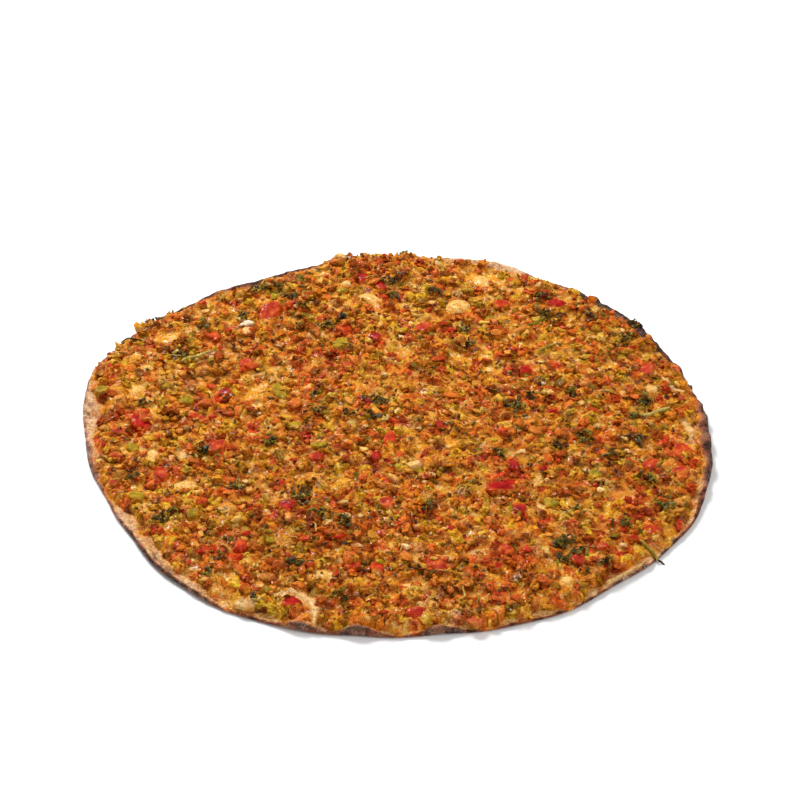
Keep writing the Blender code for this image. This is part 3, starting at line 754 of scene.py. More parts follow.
def rim_tints(degrees, inset, height, points):
    """Dough that is pale inside the rim, browned or charred outside, and stained by the topping."""
    x, y = points[:, :2].T
    bare = bare_width(degrees)
    coarse, middle, fine = noises(points, (7, 71), (2.6, 72), (1.3, 74))
    reach = BROWN_REACH + bump_sum(degrees, BROWN_REACH_ROWS)
    outward = smooth_step(1.5, 0.4, (inset - 0.7 * MM * middle - 0.6 * MM * coarse) / reach)
    low = smooth_step(0.95, 0.5, (height + 0.4 * MM * middle) / edge_height(degrees))
    low = low * smooth_step(6 * MM, 3 * MM, inset)
    browned = np.clip(np.maximum(outward, low), 0.0, 1.0) * (0.5 + 0.6 * rim_bake(degrees))
    browned += (0.25 * coarse + 0.2 * middle) * outward
    tints = layered(
        linear("CFA870"),
        ("BE8450", smooth_step(-0.25, 0.4, coarse + 0.6 * middle) * 0.7),
        ("96583A", smooth_step(-0.05, 0.4, fine + 0.5 * middle) * 0.7),
        ("D09040", smooth_step(0.3 * bare, 1.0 * bare, inset + 1.0 * MM * middle) * 0.4),
        ("B27444", smooth_step(0.1, 0.4, browned)),
        ("7E4128", smooth_step(0.35, 0.75, browned)),
        ("331A14", smooth_step(0.75, 1.15, browned + 0.35 * middle)),
    )
    for row in RIM_BUBBLES:
        top = oval_share(x, y, row)
        tints = layered(tints, ("A87855", smooth_step(0.4, 1.0, top + 0.3 * middle) * 0.5))
    for spot_x, spot_y, spot_reach in SCORCHES:
        away = np.hypot(x - spot_x * MM, y - spot_y * MM) / (spot_reach * MM)
        charred = 0.9 * np.exp(-1.2 * away ** 2) * smooth_step(-0.5, 0.2, middle)
        tints = layered(tints, ("2C1612", charred))
    uneven = edge_wander(x, y) + 1.4 * MM * middle + 0.9 * MM * fine
    stained = smooth_step(bare - 0.9 * MM, bare + 0.5 * MM, inset + uneven)
    return tints + (topping_tints(x, y) - tints) * stained[:, None] * 0.85


def rim_flour(degrees, inset, points):
    """How much flour clings to each point of the dough."""
    floury = np.clip(bump_sum(degrees, FLOUR_ROWS, 1.0), 0.0, 1.0)
    bare = bare_width(degrees)
    patch = smooth_step(-0.35, 0.35, noise_at(points, 3.5 * MM, 73))
    return (0.12 + 0.8 * floury) * (0.3 + 0.7 * patch) * smooth_step(bare + 0.5 * MM, bare - 1.5 * MM, inset)


def underside_tints(points):
    """The baked underside: pale floury dough with toasted patches and a few dark spots."""
    coarse, middle, fine = noises(points, (16, 74), (5, 75), (1.8, 76))
    return layered(
        linear("D9B183"),
        ("B27A48", smooth_step(-0.25, 0.4, coarse + 0.5 * middle) * 0.8),
        ("7A4726", smooth_step(0.2, 0.6, middle + 0.5 * coarse) * 0.8),
        ("3E2417", smooth_step(0.5, 0.8, middle + 0.35 * fine + 0.2 * coarse) * 0.8),
        ("EBD8BC", smooth_step(0.1, 0.5, fine - 0.4 * coarse) * 0.6),
    )


def under_rings(edge_reach, first):
    """The flat underside inside the ring that starts at point first, with fewer points further in."""
    around, reach, faces = [], [], []
    before, before_sides = first, RIM_SIDES
    for sides, rings, outer_share, inner_share in UNDER_RINGS:
        for share in np.linspace(outer_share, inner_share, rings):
            step = before_sides // sides
            start = before + before_sides
            around.append(np.arange(sides) * 360.0 / sides)
            reach.append(edge_reach[::RIM_SIDES // sides] * share)
            for place in range(sides):
                outer = [before + (place * step + part) % before_sides for part in range(step, -1, -1)]
                faces.append((start + place, start + (place + 1) % sides, *outer))
            before, before_sides = start, sides
    faces.append(tuple(reversed(range(before, before + before_sides))))
    return np.concatenate(around), np.concatenate(reach), faces


def rim_relief(around, points):
    """How far the dough near the rim stands out from its smooth form."""
    coarse, fine, knobs = noises(points, (4.5, 77), (1.8, 78), (5, 79))
    rough = 0.35 * MM * coarse + 0.25 * MM * fine
    rough += 0.6 * MM * smooth_step(0.05, 0.45, knobs) * np.clip(rim_bake(around) - 0.4, 0.0, 0.6)
    for row in RIM_BUBBLES:
        share = oval_share(points[:, 0], points[:, 1], row)
        rough += row[4] * MM * np.sqrt(share) * smooth_step(0.5, 0.9, points[:, 2] / edge_height(around))
    return rough


def make_bread():
    degrees = np.arange(RIM_SIDES) * 360.0 / RIM_SIDES
    insets, heights = bread_section(degrees, RIM_STEPS)
    reach = outline_radius(degrees)[None, :] - insets
    top_rings = TOP_RINGS[:, None] * reach[0][None, :]
    reach = np.concatenate((top_rings, reach))
    heights = np.concatenate((np.full_like(top_rings, BREAD_THICKNESS), heights))
    faces = [tuple(reversed(face)) for face in grid_faces(len(reach), RIM_SIDES, True)]
    faces.append(tuple(range(RIM_SIDES)))
    under_around, under_reach, under_faces = under_rings(reach[-1], (len(reach) - 1) * RIM_SIDES)
    around = np.concatenate((np.tile(degrees, len(reach)), under_around))
    reach = np.concatenate((reach.ravel(), under_reach))
    heights = np.concatenate((heights.ravel(), np.zeros_like(under_reach)))
    inset = outline_radius(around) - reach
    angle = np.radians(around)
    points = np.column_stack((reach * np.cos(angle), reach * np.sin(angle), heights))
    rough = rim_relief(around, points) * smooth_step(12 * MM, 5 * MM, inset)
    points[:, :2] *= 1 + 0.6 * (rough / np.hypot(points[:, 0], points[:, 1]))[:, None]
    points[:, 2] = np.maximum(points[:, 2] + np.where(points[:, 2] > 0.2 * MM, rough, 0.0), 0.0)
    under = smooth_step(0.9 * MM, 0.1 * MM, points[:, 2])
    tints = rim_tints(around, inset, points[:, 2], points)
    tints += (underside_tints(points) - tints) * under[:, None]
    flour = rim_flour(around, inset, points) * (1.0 - under) + 0.5 * under
    raise_field(points)
    look = food_material("baked_dough", 0.75, grain=0.5, grain_size=1.0, bump=0.7, wet=0.05, dust="E0C4AC")
    build("bread_crust", points, faces + under_faces, tints, look, ("bread",), "bread", crumbly=flour)


# ---- core of the topping

CORE_STEPS = 460
CORE_BANDS = 3
CORE_INSET = 1.5 * MM
SOFT_CLUMPS = 0.4   # share of the clumps that are soft smooth bits rather than mince
TINT_GAIN = np.array((1.61, 1.66, 0.88))
MOST_RED = 0.74     # the brightest that the red of a cooked tint gets
MOST_GREEN = 0.62   # the most green in it, as a share of its red
CRUMB_TINTS = (
    ("C4721C", 3.4), ("AE6212", 3.0), ("D88830", 3.0), ("984C0C", 2.0), ("E29D44", 2.0), ("BF7C35", 2.0),
    ("C3905A", 1.2), ("C85A1A", 1.6), ("A47A20", 1.4), ("BC4416", 0.9), ("D8A838", 1.0), ("7C4A14", 0.8),
    ("50481A", 0.5),
)


def tint_of_share(palette, share):
    """The palette's colour for every share from 0 to 1, taken by the weights of its rows."""
    codes, weights = zip(*palette)
    colours = np.array([linear(code) for code in codes])
    limits = np.cumsum(weights)
    rows = np.searchsorted(limits / limits[-1], share, side="right")
    return colours[np.minimum(rows, len(palette) - 1)]


def tempered(tints):
    """Tints kept from growing brighter, greener or more vivid than cooked food is."""
    red = np.minimum(tints[:, 0], MOST_RED)
    green = np.minimum(tints[:, 1], MOST_GREEN * red)
    blue = np.clip(tints[:, 2] * (0.1 + 1.3 * red), 0.025 * red ** 2, 0.75 * green)
    return np.stack((red, green, blue), axis=1)


def topping_tints(x, y):
    """The sauce, clumps and crumbs of the core, with painted shade in the crevices between them, and the
    wider changes over the disc.
    """
    cells = [crumb_cells(x, y, size, seed)[:2] for size, _, seed in CELLS]
    (clump_depth, clump), (crumb_depth, crumb), (_, grain) = cells
    own_share = np.where(clump[:, 3] < SOFT_CLUMPS, 0.12, 0.35)[:, None]
    clump_tint = tint_of_share(CRUMB_TINTS, clump[:, 1])
    tints = clump_tint + (tint_of_share(CRUMB_TINTS, crumb[:, 1]) - clump_tint) * own_share
    light = (0.8 + 0.4 * crumb[:, 2]) * (0.86 + 0.28 * grain[:, 1])
    # Painted shade: darker towards the crevices between the clumps, and between the crumbs.
    light *= 0.5 + 0.5 * smooth_step(0.0, 0.3, clump_depth)
    light *= 0.7 + 0.3 * smooth_step(0.0, 0.5, crumb_depth)
    tints *= light[:, None] ** np.array((1.0, 1.4, 2.2))
    return tempered(tints * TINT_GAIN * region_tones(x, y))


def make_core():
    u, v, _ = disc_grid(CORE_STEPS)
    edge = outline_radius(angle_of(u, v)) - CORE_INSET
    x = u * edge
    y = v * edge
    points = np.stack((x, y, core_height(x, y)), axis=1)
    spots = spot_share(x, y)
    pools = pool_share(x, y) * (1.0 - spots)
    dome = blister_share(x, y)[0]
    fold = fold_share(x, y)[0]
    streak, wide, other = [flat_noise(x, y, size, seed) for size, seed in ((2.2, 41), (9, 42), (5, 43))]
    tints = layered(
        topping_tints(x, y),
        ("D08A28", pools * 0.6),
        ("E2A63C", pools * smooth_step(0.0, 0.3, wide + 0.3 * streak) * 0.7),
        ("C4601E", pools * smooth_step(0.1, 0.4, other - 0.3 * wide) * 0.6),
        ("F0CC80", pools * smooth_step(0.15, 0.4, streak) * 0.6),
        # Smooth patches: golden, with cream middles that are partly their own colour and partly painted
        # sheen.
        ("DF9624", spots * 0.85),
        ("F2CC82", spots ** 2 * smooth_step(0.0, 0.35, streak) * 0.8),
        # Blisters: golden, and paler towards their tips, partly as bare dough and partly as painted
        # highlight.
        ("E0A03C", smooth_step(0.2, 0.6, dome + 0.4 * streak) * 0.85),
        ("EEC474", smooth_step(0.5, 1.0, dome + 0.6 * streak) * 0.8),
        ("D89A44", smooth_step(0.0, 0.35, fold) * 0.9),
        ("E4BA7C", smooth_step(0.4, 0.9, fold + 0.5 * streak) * 0.9),
    )
    crumbly = 1.0 - np.max((spots, fold, smooth_step(0.2, 0.6, dome), 0.8 * pools), axis=0)
    raise_field(points)
    material = food_material("oily_mince", 0.5, grain=0.35, grain_size=0.9, bump=0.8, wet=0.36, crumb=1.5)
    last = CORE_STEPS - 1
    for band in range(CORE_BANDS):
        first_row = band * last // CORE_BANDS
        rows = (band + 1) * last // CORE_BANDS - first_row + 1
        part = slice(first_row * CORE_STEPS, (first_row + rows) * CORE_STEPS)
        sheet = closed_sheet(points[part], rows, CORE_STEPS, 0.6 * MM, tints[part], crumbly[part])
        replaced = ("meat_topping",) if band == 0 else ()
        build(f"topping_core_{band + 1}", *sheet[:3], material, replaced, crumbly=sheet[3])


# ---- height of what is already laid

FIELD_STEP = 1.0 * MM
FIELD_COUNT = 340
field = np.zeros((FIELD_COUNT, FIELD_COUNT))


def field_cells(*sides):
    """The column and the row of the field for each x and y."""
    return tuple(
        np.clip((side / FIELD_STEP + FIELD_COUNT / 2).astype(int), 0, FIELD_COUNT - 1) for side in sides)


def raise_field(points):
    np.maximum.at(field, field_cells(*points[:, :2].T), points[:, 2])


def field_height(x, y):
    """Height of the topping laid so far, evened out over three millimetres."""
    steps = [(a * FIELD_STEP, b * FIELD_STEP) for a in (-1, 0, 1) for b in (-1, 0, 1)]
    heights = [field[field_cells(x + step_x, y + step_y)] for step_x, step_y in steps]
    return 0.7 * np.mean(heights, axis=0) + 0.3 * np.max(heights, axis=0)


# ---- shapes of the small things

def ball(subdivisions):
    """Points and faces of a ball of triangles with radius 1."""
    shape = bmesh.new()
    bmesh.ops.create_icosphere(shape, subdivisions=subdivisions, radius=1.0)
    points = np.array([vert.co[:] for vert in shape.verts])
    faces = np.array([[vert.index for vert in face.verts] for face in shape.faces])
    shape.free()
    return points, faces


def crumb_shapes(count, subdivisions, seed, rough=1.0):
    """Craggy crumbs with lobes, creases and torn corners; the less rough, the nearer to a ball."""
    points, faces = ball(subdivisions)
    generator = np.random.default_rng(seed)
    shapes = []
    for number in range(count):
        lobes = noise_at(points, 0.7, seed + number)
        creases = np.abs(noise_at(points, 0.45, seed + number + 0.5))
        uneven = 0.8 * lobes + 0.9 * (creases - 0.15) + generator.normal(0, 0.1, len(points))
        reach = 0.85 + rough * uneven
        shapes.append((points * np.maximum(reach, 0.3)[:, None], faces))
    return shapes


def chopped_shapes(count, subdivisions, cuts, seed):
    """Chopped bits: balls trimmed flat by a few random cuts, with soft edges."""
    points, faces = ball(subdivisions)
    generator = np.random.default_rng(seed)
    shapes = []
    for number in range(count):
        normals = generator.normal(size=(cuts, 3))
        normals /= np.linalg.norm(normals, axis=1)[:, None]
        depths = generator.uniform(0.35, 0.8, cuts)
        facing = points @ normals.T
        reach = np.min(np.where(facing > 0.08, depths / np.maximum(facing, 0.08), 9.0), axis=1)
        reach = np.minimum(reach, 1.15) * (1 + 0.12 * noise_at(points, 0.6, seed + number))
        shapes.append((points * reach[:, None], faces))
    return shapes


def scrap_shapes(count, corners, seed):
    """Small crumpled leaf scraps, closed all round and a little thick."""
    generator = np.random.default_rng(seed)
    angle = np.arange(corners) * 2 * math.pi / corners
    thick = np.array([0.1] * (corners + 1) + [0.04] * corners)
    size = len(thick)
    faces = []
    for step in range(corners):
        after = (step + 1) % corners
        inner, inner_after = 1 + step, 1 + after
        rim, rim_after = inner + corners, inner_after + corners
        faces += [(0, inner, inner_after), (inner, rim, rim_after), (inner, rim_after, inner_after)]
        faces += [(size, size + inner_after, size + inner), (size + inner, size + rim_after, size + rim)]
        faces += [(size + inner, size + inner_after, size + rim_after)]
        faces += [(rim, size + rim, size + rim_after), (rim, size + rim_after, rim_after)]
    shapes = []
    for number in range(count):
        reach = generator.uniform(0.35, 1.1, corners)
        outer = np.stack((reach * np.cos(angle), reach * np.sin(angle), 0 * angle), 1)
        flat = np.concatenate((np.zeros((1, 3)), outer * 0.5, outer))
        fold = noise_at(flat, 0.5, seed + number) * 0.8
        sides = [np.column_stack((flat[:, :2], fold + sign * thick)) for sign in (1, -1)]
        shapes.append((np.concatenate(sides), np.array(faces)))
    return shapes


# ---- laying small things

SHAPE_COUNT = 14     # different shapes of each kind of small thing
PLACE_ROUNDS = 30    # rounds of random places before the search for free ones ends

def places_on(generator, count, spacing, keep, edge=1.0 * MM):
    """Random places on the topping at least the spacing apart, thinned where keep(x, y) is low.

    Edge is how far past the bare dough of the rim they stay.
    """
    taken = {}
    found = []
    for _ in range(PLACE_ROUNDS):
        angle = generator.uniform(0, 2 * math.pi, count)
        reach = np.sqrt(generator.uniform(0, 1, count)) * (BREAD_RADIUS + 9 * MM)
        x = reach * np.cos(angle)
        y = reach * np.sin(angle)
        degrees = angle_of(x, y)
        inside = reach < outline_radius(degrees) - bare_width(degrees) - edge + 0.7 * edge_wander(x, y)
        inside &= reach < outline_radius(degrees) - 1.2 * MM
        inside &= generator.uniform(0, 1, count) < keep(x, y)
        for px, py in zip(x[inside], y[inside]):
            cell = (int(px // spacing), int(py // spacing))
            close = [(cell[0] + a, cell[1] + b) for a in (-1, 0, 1) for b in (-1, 0, 1)]
            near = [taken[other] for other in close if other in taken]
            if all((px - qx) ** 2 + (py - qy) ** 2 > spacing ** 2 for qx, qy in near):
                taken[cell] = (px, py)
                found.append((px, py))
                if len(found) == count:
                    return np.array(found)
    return np.array(found)


def lying_turns(generator, spin, lean):
    """Turns of things that lie nearly flat: spin in radians, lean in degrees."""
    tilt, roll = np.radians(generator.normal(0, lean, (2, len(spin))))
    return np.array([Euler(angles, "YXZ").to_matrix() for angles in zip(tilt, roll, spin)])


def pick_tints(generator, palette, count, spread=0.12):
    """A tint for each thing: a random row of the palette, a little lighter or darker."""
    tints = tint_of_share(palette, generator.random(count))
    return tints * np.exp(generator.normal(0, spread, (count, 1)))


def lay(name, shapes, where, sizes, spins, tints, sink, material, slot="meat_topping", wet=0.6, smear=0.5,
        crease=0):
    """One piece from many turned, stretched and tinted copies of a few shapes, sunk a little where they lie.

    Sink is the share of each thing's height that is below the surface; wet is how far its foot takes the
    tint of the sauce round it, darkened as painted shade, and smear how far the patches of sauce on it do.
    """
    chosen = np.random.default_rng(len(where)).integers(0, len(shapes), len(where))
    ground = field_height(*where.T)
    # The sauce round each thing, darkened by a fifth as painted shade at its foot.
    sauce = 0.8 * topping_tints(*where.T)
    laid_points, laid_faces, laid_tints = [], [], []
    start = 0
    for number, (points, faces) in enumerate(shapes):
        rows = np.flatnonzero(chosen == number)
        if len(rows) == 0:
            continue
        moved = np.einsum("nij,nkj->nki", spins[rows], points * sizes[rows][:, None, :])
        height = moved[:, :, 2] - moved[:, :, 2].min(axis=1, keepdims=True)
        thickness = height.max(axis=1, keepdims=True)
        sunk = sink[rows][:, None]
        moved[:, :, :2] += where[rows][:, None, :]
        moved[:, :, 2] = height + ground[rows][:, None] - thickness * sunk
        soaked = (1 - smooth_step(sunk - 0.1, sunk + 0.5, height / thickness))[:, :, None] * wet
        own = tints[rows][:, None, :]
        laid_tints.append((own + (sauce[rows][:, None, :] - own) * soaked).reshape(-1, 3))
        laid_points.append(moved.reshape(-1, 3))
        laid_faces.append((faces + start + np.arange(len(rows))[:, None, None] * len(points)).reshape(-1, 3))
        start += len(rows) * len(points)
    points = np.concatenate(laid_points)
    tints = np.concatenate(laid_tints)
    smeared = smooth_step(-0.05, 0.35, noise_at(points, 2.2 * MM, 61)) * smear
    tints += (topping_tints(*points[:, :2].T) - tints) * smeared[:, None]
    raise_field(points)
    build(name, points, np.concatenate(laid_faces).tolist(), tints, material, (), slot, crease)


def clear_share(x, y):
    """How bare of crumbs each place is kept: 1 on blisters, smooth patches and large pieces."""
    dome = smooth_step(0.3, 0.6, blister_share(x, y)[0])
    covered = np.max((spot_share(x, y), dome, smooth_step(0.0, 0.3, fold_share(x, y)[0])), axis=0)
    for piece in large_pieces:
        covered = np.maximum(covered, 0.94 * inside_piece(x, y, piece))
    return covered


def crumb_keep(x, y):
    """The share of the mince crumbs that stay at each place."""
    cluster = smooth_step(-0.35, 0.25, flat_noise(x, y, 10, 51))
    return (1.0 - 0.96 * clear_share(x, y)) * (1.0 - 0.85 * pool_share(x, y)) * (0.35 + 0.65 * cluster)


def lay_mince(name, material, seed, count, spacing, sizes, sink, own_share, subdivisions, crease, edge):
    """Crumbs of one size range, tinted partly by chance and partly like the topping round them."""
    generator = np.random.default_rng(seed)
    where = places_on(generator, count, spacing * MM, crumb_keep, edge * MM)
    number = len(where)
    size = generator.uniform(*sizes, number) * MM / 2
    sizes = size[:, None] * generator.uniform((0.8, 0.75, 0.5), (1.3, 1.1, 0.85), (number, 3))
    lighter = generator.normal(0.1, 0.15, number)[:, None] * (1.0, 1.35, 2.0)
    local = topping_tints(*where.T) * np.exp(lighter)
    own = pick_tints(generator, CRUMB_TINTS, number) * TINT_GAIN * region_tones(*where.T)
    sinks = generator.uniform(sink - 0.15, sink + 0.2, number)
    spins = lying_turns(generator, generator.uniform(0, 2 * math.pi, number), 30)
    tints = tempered(local + (own - local) * own_share)
    shapes = crumb_shapes(SHAPE_COUNT, subdivisions, seed)
    lay(name, shapes, where, sizes, spins, tints, sinks, material, crease=crease)


BIT_TINTS = {
    "tomato_bits": (("C04410", 3), ("D06A24", 3), ("AE2E0C", 2), ("D88A40", 2)),
    "red_pepper_bits": (("A21408", 3), ("B82C10", 2), ("780A04", 1)),
    "green_pepper_bits": (("A4800E", 3), ("8E740E", 2), ("B88C1A", 2), ("706210", 1)),
    "onion_bits": (("E0AC50", 3), ("E6C078", 2), ("DC9C38", 3)),
    "deep_red_bits": (("8E0808", 2), ("6E0606", 1)),
    "red_bits": (("A8180A", 3), ("B83010", 2), ("A0281C", 1)),
    "orange_bits": (("CE7424", 2), ("C86220", 2)),
    "green_bits": (("988418", 2), ("7E7616", 2), ("AE9626", 1)),
    "cream_bits": (("E2BE7C", 3), ("DAAA5C", 3), ("EAD8B0", 1)),
}
CUT_CREASE = 50   # degrees past which an edge of a cut bit stays sharp; torn bits have no sharp edges
CUT_COUNT = 6     # cuts that trim a bit
BIT_SEED, HERB_SEED, STALK_SEED = 12, 13, 14
# Scattered bits: name, number, spacing and smallest and largest size in mm, sink, slot and crease.
SCATTERED_BITS = (
    ("tomato_bits", 320, 4.8, (3.4, 8.0), 0.55, "tomato", 0),
    ("red_pepper_bits", 150, 5.6, (2.6, 5.4), 0.4, "red_pepper", CUT_CREASE),
    ("green_pepper_bits", 200, 4.8, (2.6, 6.4), 0.45, "green_pepper", CUT_CREASE),
    ("onion_bits", 300, 4.4, (2.4, 6.4), 0.6, "meat_topping", 0),
)
SINGLE_SLOTS = {
    "deep_red_bits": "red_pepper", "red_bits": "red_pepper", "orange_bits": "tomato",
    "green_bits": "green_pepper", "cream_bits": "meat_topping",
}


def bit_keep(x, y):
    """The share of the bits, scraps and fibres that stay at each place."""
    return (1.0 - 0.92 * clear_share(x, y)) * (1.0 - 0.35 * pool_share(x, y))


def make_bits():
    """Small bits of tomato, pepper and onion: the scattered ones, then those that stand out."""
    generator = np.random.default_rng(BIT_SEED)
    soft = food_material("soft_bits", 0.4, grain=0.35, grain_size=1.0, bump=0.7, wet=0.2)
    glossy = food_material("glossy_bits", 0.35, grain=0.3, grain_size=1.2, bump=0.6, wet=0.3)
    torn = crumb_shapes(SHAPE_COUNT, 2, 40, 0.8)
    cut = chopped_shapes(SHAPE_COUNT, 2, CUT_COUNT, 50)
    for name, count, spacing, (low, high), sink, slot, crease in SCATTERED_BITS:
        where = places_on(generator, count, spacing * MM, bit_keep, 2.5 * MM)
        number = len(where)
        size = generator.uniform(low, high, number) * MM / 2
        sizes = size[:, None] * generator.uniform((0.9, 0.6, 0.3), (1.4, 1.0, 0.5), (number, 3))
        tints = pick_tints(generator, BIT_TINTS[name], number)
        spins = lying_turns(generator, generator.uniform(0, 2 * math.pi, number), 12)
        sinks = generator.uniform(sink - 0.15, sink + 0.3, number)
        shapes = cut if crease else torn
        lay(name, shapes, where, sizes, spins, tints, sinks, soft, slot, 0.9, 0.8, crease)
    shapes = chopped_shapes(SHAPE_COUNT, 3, CUT_COUNT, 60)
    for name, rows in SMALL_PIECES.items():
        table = np.array(rows, float)
        number = len(table)
        sizes = table[:, 2:4] * MM / 2 * 1.1
        sizes = np.column_stack((sizes, sizes.min(axis=1) * 0.6))
        spins = lying_turns(generator, np.radians(table[:, 4]), 12)
        tints = pick_tints(generator, BIT_TINTS[name], number, 0.06)
        sinks = generator.uniform(0.25, 0.55, number)
        where = table[:, :2] * MM
        slot = SINGLE_SLOTS[name]
        lay(name, shapes, where, sizes, spins, tints, sinks, glossy, slot, 0.85, 0.55, CUT_CREASE)


LOOSE_HERBS = 880   # scraps scattered besides those of the clusters
HERB_FULLNESS = 1.6   # scraps laid for each one that a cluster's row counts
SCRAP_CORNERS = 7
HERB_TINTS = (("2E3016", 3), ("44441A", 3), ("26241A", 2), ("5A561A", 3), ("78701E", 3), ("4A4A3C", 1))


def make_herbs():
    generator = np.random.default_rng(HERB_SEED)
    material = food_material("parsley", 0.5, grain=0.4, grain_size=0.8, bump=0.3, wet=0.4)
    loose = places_on(generator, LOOSE_HERBS, 2.2 * MM, bit_keep)
    groups = [loose]
    for x, y, reach, count in HERB_CLUSTERS:
        scatter = generator.normal(0, reach * MM * 0.42, (round(HERB_FULLNESS * count), 2))
        groups.append(np.array((x, y)) * MM + scatter)
    where = np.concatenate(groups)
    number = len(where)
    size = generator.uniform(1.5, 3.1, number) * MM / 2
    size[len(loose):] *= 1.35
    sizes = size[:, None] * generator.uniform((0.9, 0.45, 0.7), (1.7, 1.0, 1.2), (number, 3))
    tints = pick_tints(generator, HERB_TINTS, number)
    sinks = generator.uniform(-0.1, 0.35, number)
    spins = lying_turns(generator, generator.uniform(0, 2 * math.pi, number), 28)
    shapes = scrap_shapes(SHAPE_COUNT, SCRAP_CORNERS, 3)
    lay("parsley_scraps", shapes, where, sizes, spins, tints, sinks, material, "green_pepper", 0.3, 0.25)


# ---- stalks

ROD_SIDES = 6
ROD_STEPS = 12
FIBRE_COUNT = 60
FIBRE_TONES = ("olive", "straw", "olive", "green")


def rod(row):
    """Points of a bowed rod that follows what it lies on and thins out at its ends."""
    thickness = row[5]
    path, along, across = bowed_path(row, ROD_STEPS)
    path += (0.25 * MM * np.sin(along * 9 + row[0]))[:, None] * across
    heights = np.convolve(np.pad(field_height(*path.T), 2, mode="edge"), np.ones(5) / 5, mode="valid")
    level = heights + 0.25 * thickness * MM + 0.2 * MM * np.sin(along * math.pi)
    girth = thickness * MM / 2 * (0.35 + 0.65 * np.sin(np.clip(along * 0.9 + 0.05, 0, 1) * math.pi) ** 0.4)
    turn = np.arange(ROD_SIDES) * 2 * math.pi / ROD_SIDES
    ring = np.outer(np.cos(turn), (*across, 0)) + np.outer(np.sin(turn), (0, 0, 1))
    return (np.column_stack((path, level))[:, None, :] + ring * girth[:, None, None]).reshape(-1, 3)


def make_stalks():
    """The stalks that stand out and thin fibres scattered between them."""
    generator = np.random.default_rng(STALK_SEED)
    rows = list(STALKS)
    for x, y in places_on(generator, FIBRE_COUNT, 9 * MM, bit_keep, 6 * MM) / MM:
        turn = generator.uniform(0, 2 * math.pi)
        length = generator.uniform(3, 8)
        end = (x + length * math.cos(turn), y + length * math.sin(turn))
        bow = generator.uniform(-1.5, 1.5)
        thickness = generator.uniform(0.4, 0.8)
        rows.append((x, y, *end, bow, thickness, FIBRE_TONES[generator.integers(0, len(FIBRE_TONES))]))
    size = ROD_STEPS * ROD_SIDES
    ends = [tuple(range(ROD_SIDES - 1, -1, -1)), tuple(range(size - ROD_SIDES, size))]
    rod_faces = grid_faces(ROD_STEPS, ROD_SIDES, True) + ends
    along = np.repeat(np.linspace(0, 7, ROD_STEPS), ROD_SIDES)
    points, faces, tints = [], [], []
    for number, row in enumerate(rows):
        points.append(rod(row))
        faces += [tuple(number * size + index for index in face) for face in rod_faces]
        tints.append(linear(STALK_TINTS[row[6]]) * (0.8 + 0.35 * np.sin(along + number) ** 2)[:, None])
    material = food_material("stalks", 0.5, grain=0.35, grain_size=0.9, bump=0.3)
    build("stalks", np.concatenate(points), faces, np.concatenate(tints), material, (), "green_pepper")


# ---- large pieces

PIECE_STEPS = 17
PIECE_SIDES = 24        # directions in which a piece of the solids is measured
PIECE_TURNS = np.arange(PIECE_SIDES) * 2 * math.pi / PIECE_SIDES
LEAST_RISE = 0.9 * MM   # how far the large pieces stand out of the topping, at least and at most
MOST_RISE = 1.7 * MM
PIECE_TINTS = {
    "tomato": ("B8340E", "D0641E", "941A08"),
    "red_pepper": ("9E100A", "BC2C16", "6E0806"),
    "green_pepper": ("987A0E", "AE8A16", "70600E"),
}
PIECE_LOOKS = {
    "tomato": food_material("tomato_flesh", 0.4, grain=0.3, grain_size=1.2, bump=0.6, wet=0.3),
    "red_pepper": food_material("red_pepper_skin", 0.35, grain=0.25, grain_size=1.4, bump=0.5, wet=0.3),
    "green_pepper": food_material("green_pepper_skin", 0.5, grain=0.3, grain_size=1.2, bump=0.6, wet=0.2),
}


def find_large_pieces():
    """The place, the reach in every direction and the top of each large piece of the solids."""
    pieces = []
    normals = np.column_stack((np.cos(PIECE_TURNS), np.sin(PIECE_TURNS)))
    for node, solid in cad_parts.items():
        kind = node.rsplit("_", 1)[0]
        if kind not in PIECE_TINTS:
            continue
        points = np.array([(solid.matrix_world @ vert.co)[:] for vert in solid.data.vertices]) + MIDDLE
        middle = (points[:, :2].min(axis=0) + points[:, :2].max(axis=0)) / 2
        sides = ((points[:, :2] - middle) @ normals.T).max(axis=0)
        top = points[:, 2].max()
        pieces.append({"node": node, "kind": kind, "middle": middle, "sides": sides, "top": top})
    return pieces


def piece_reach(piece, angle):
    """How far the piece reaches from its middle towards each angle."""
    facing = np.cos(angle[:, None] - PIECE_TURNS[None, :])
    return np.min(np.where(facing > 0.2, piece["sides"][None, :] / np.maximum(facing, 0.2), 1.0), axis=1)


def corners_reach(angle, turns, reaches):
    """How far a polygon with these corners reaches towards each angle."""
    following = np.searchsorted(turns, angle % (2 * math.pi)) % len(turns)
    before = (following - 1) % len(turns)
    span = (turns[following] - turns[before]) % (2 * math.pi)
    part = (angle - turns[before]) % (2 * math.pi)
    low = reaches[before]
    high = reaches[following]
    return low * high * np.sin(span) / (low * np.sin(part) + high * np.sin(span - part))


def inside_piece(x, y, piece):
    """1 well inside the piece's outline, 0 outside it."""
    dx = x - piece["middle"][0]
    dy = y - piece["middle"][1]
    reach = piece_reach(piece, np.arctan2(dy, dx))
    return smooth_step(1.05, 0.85, np.hypot(dx, dy) / reach)


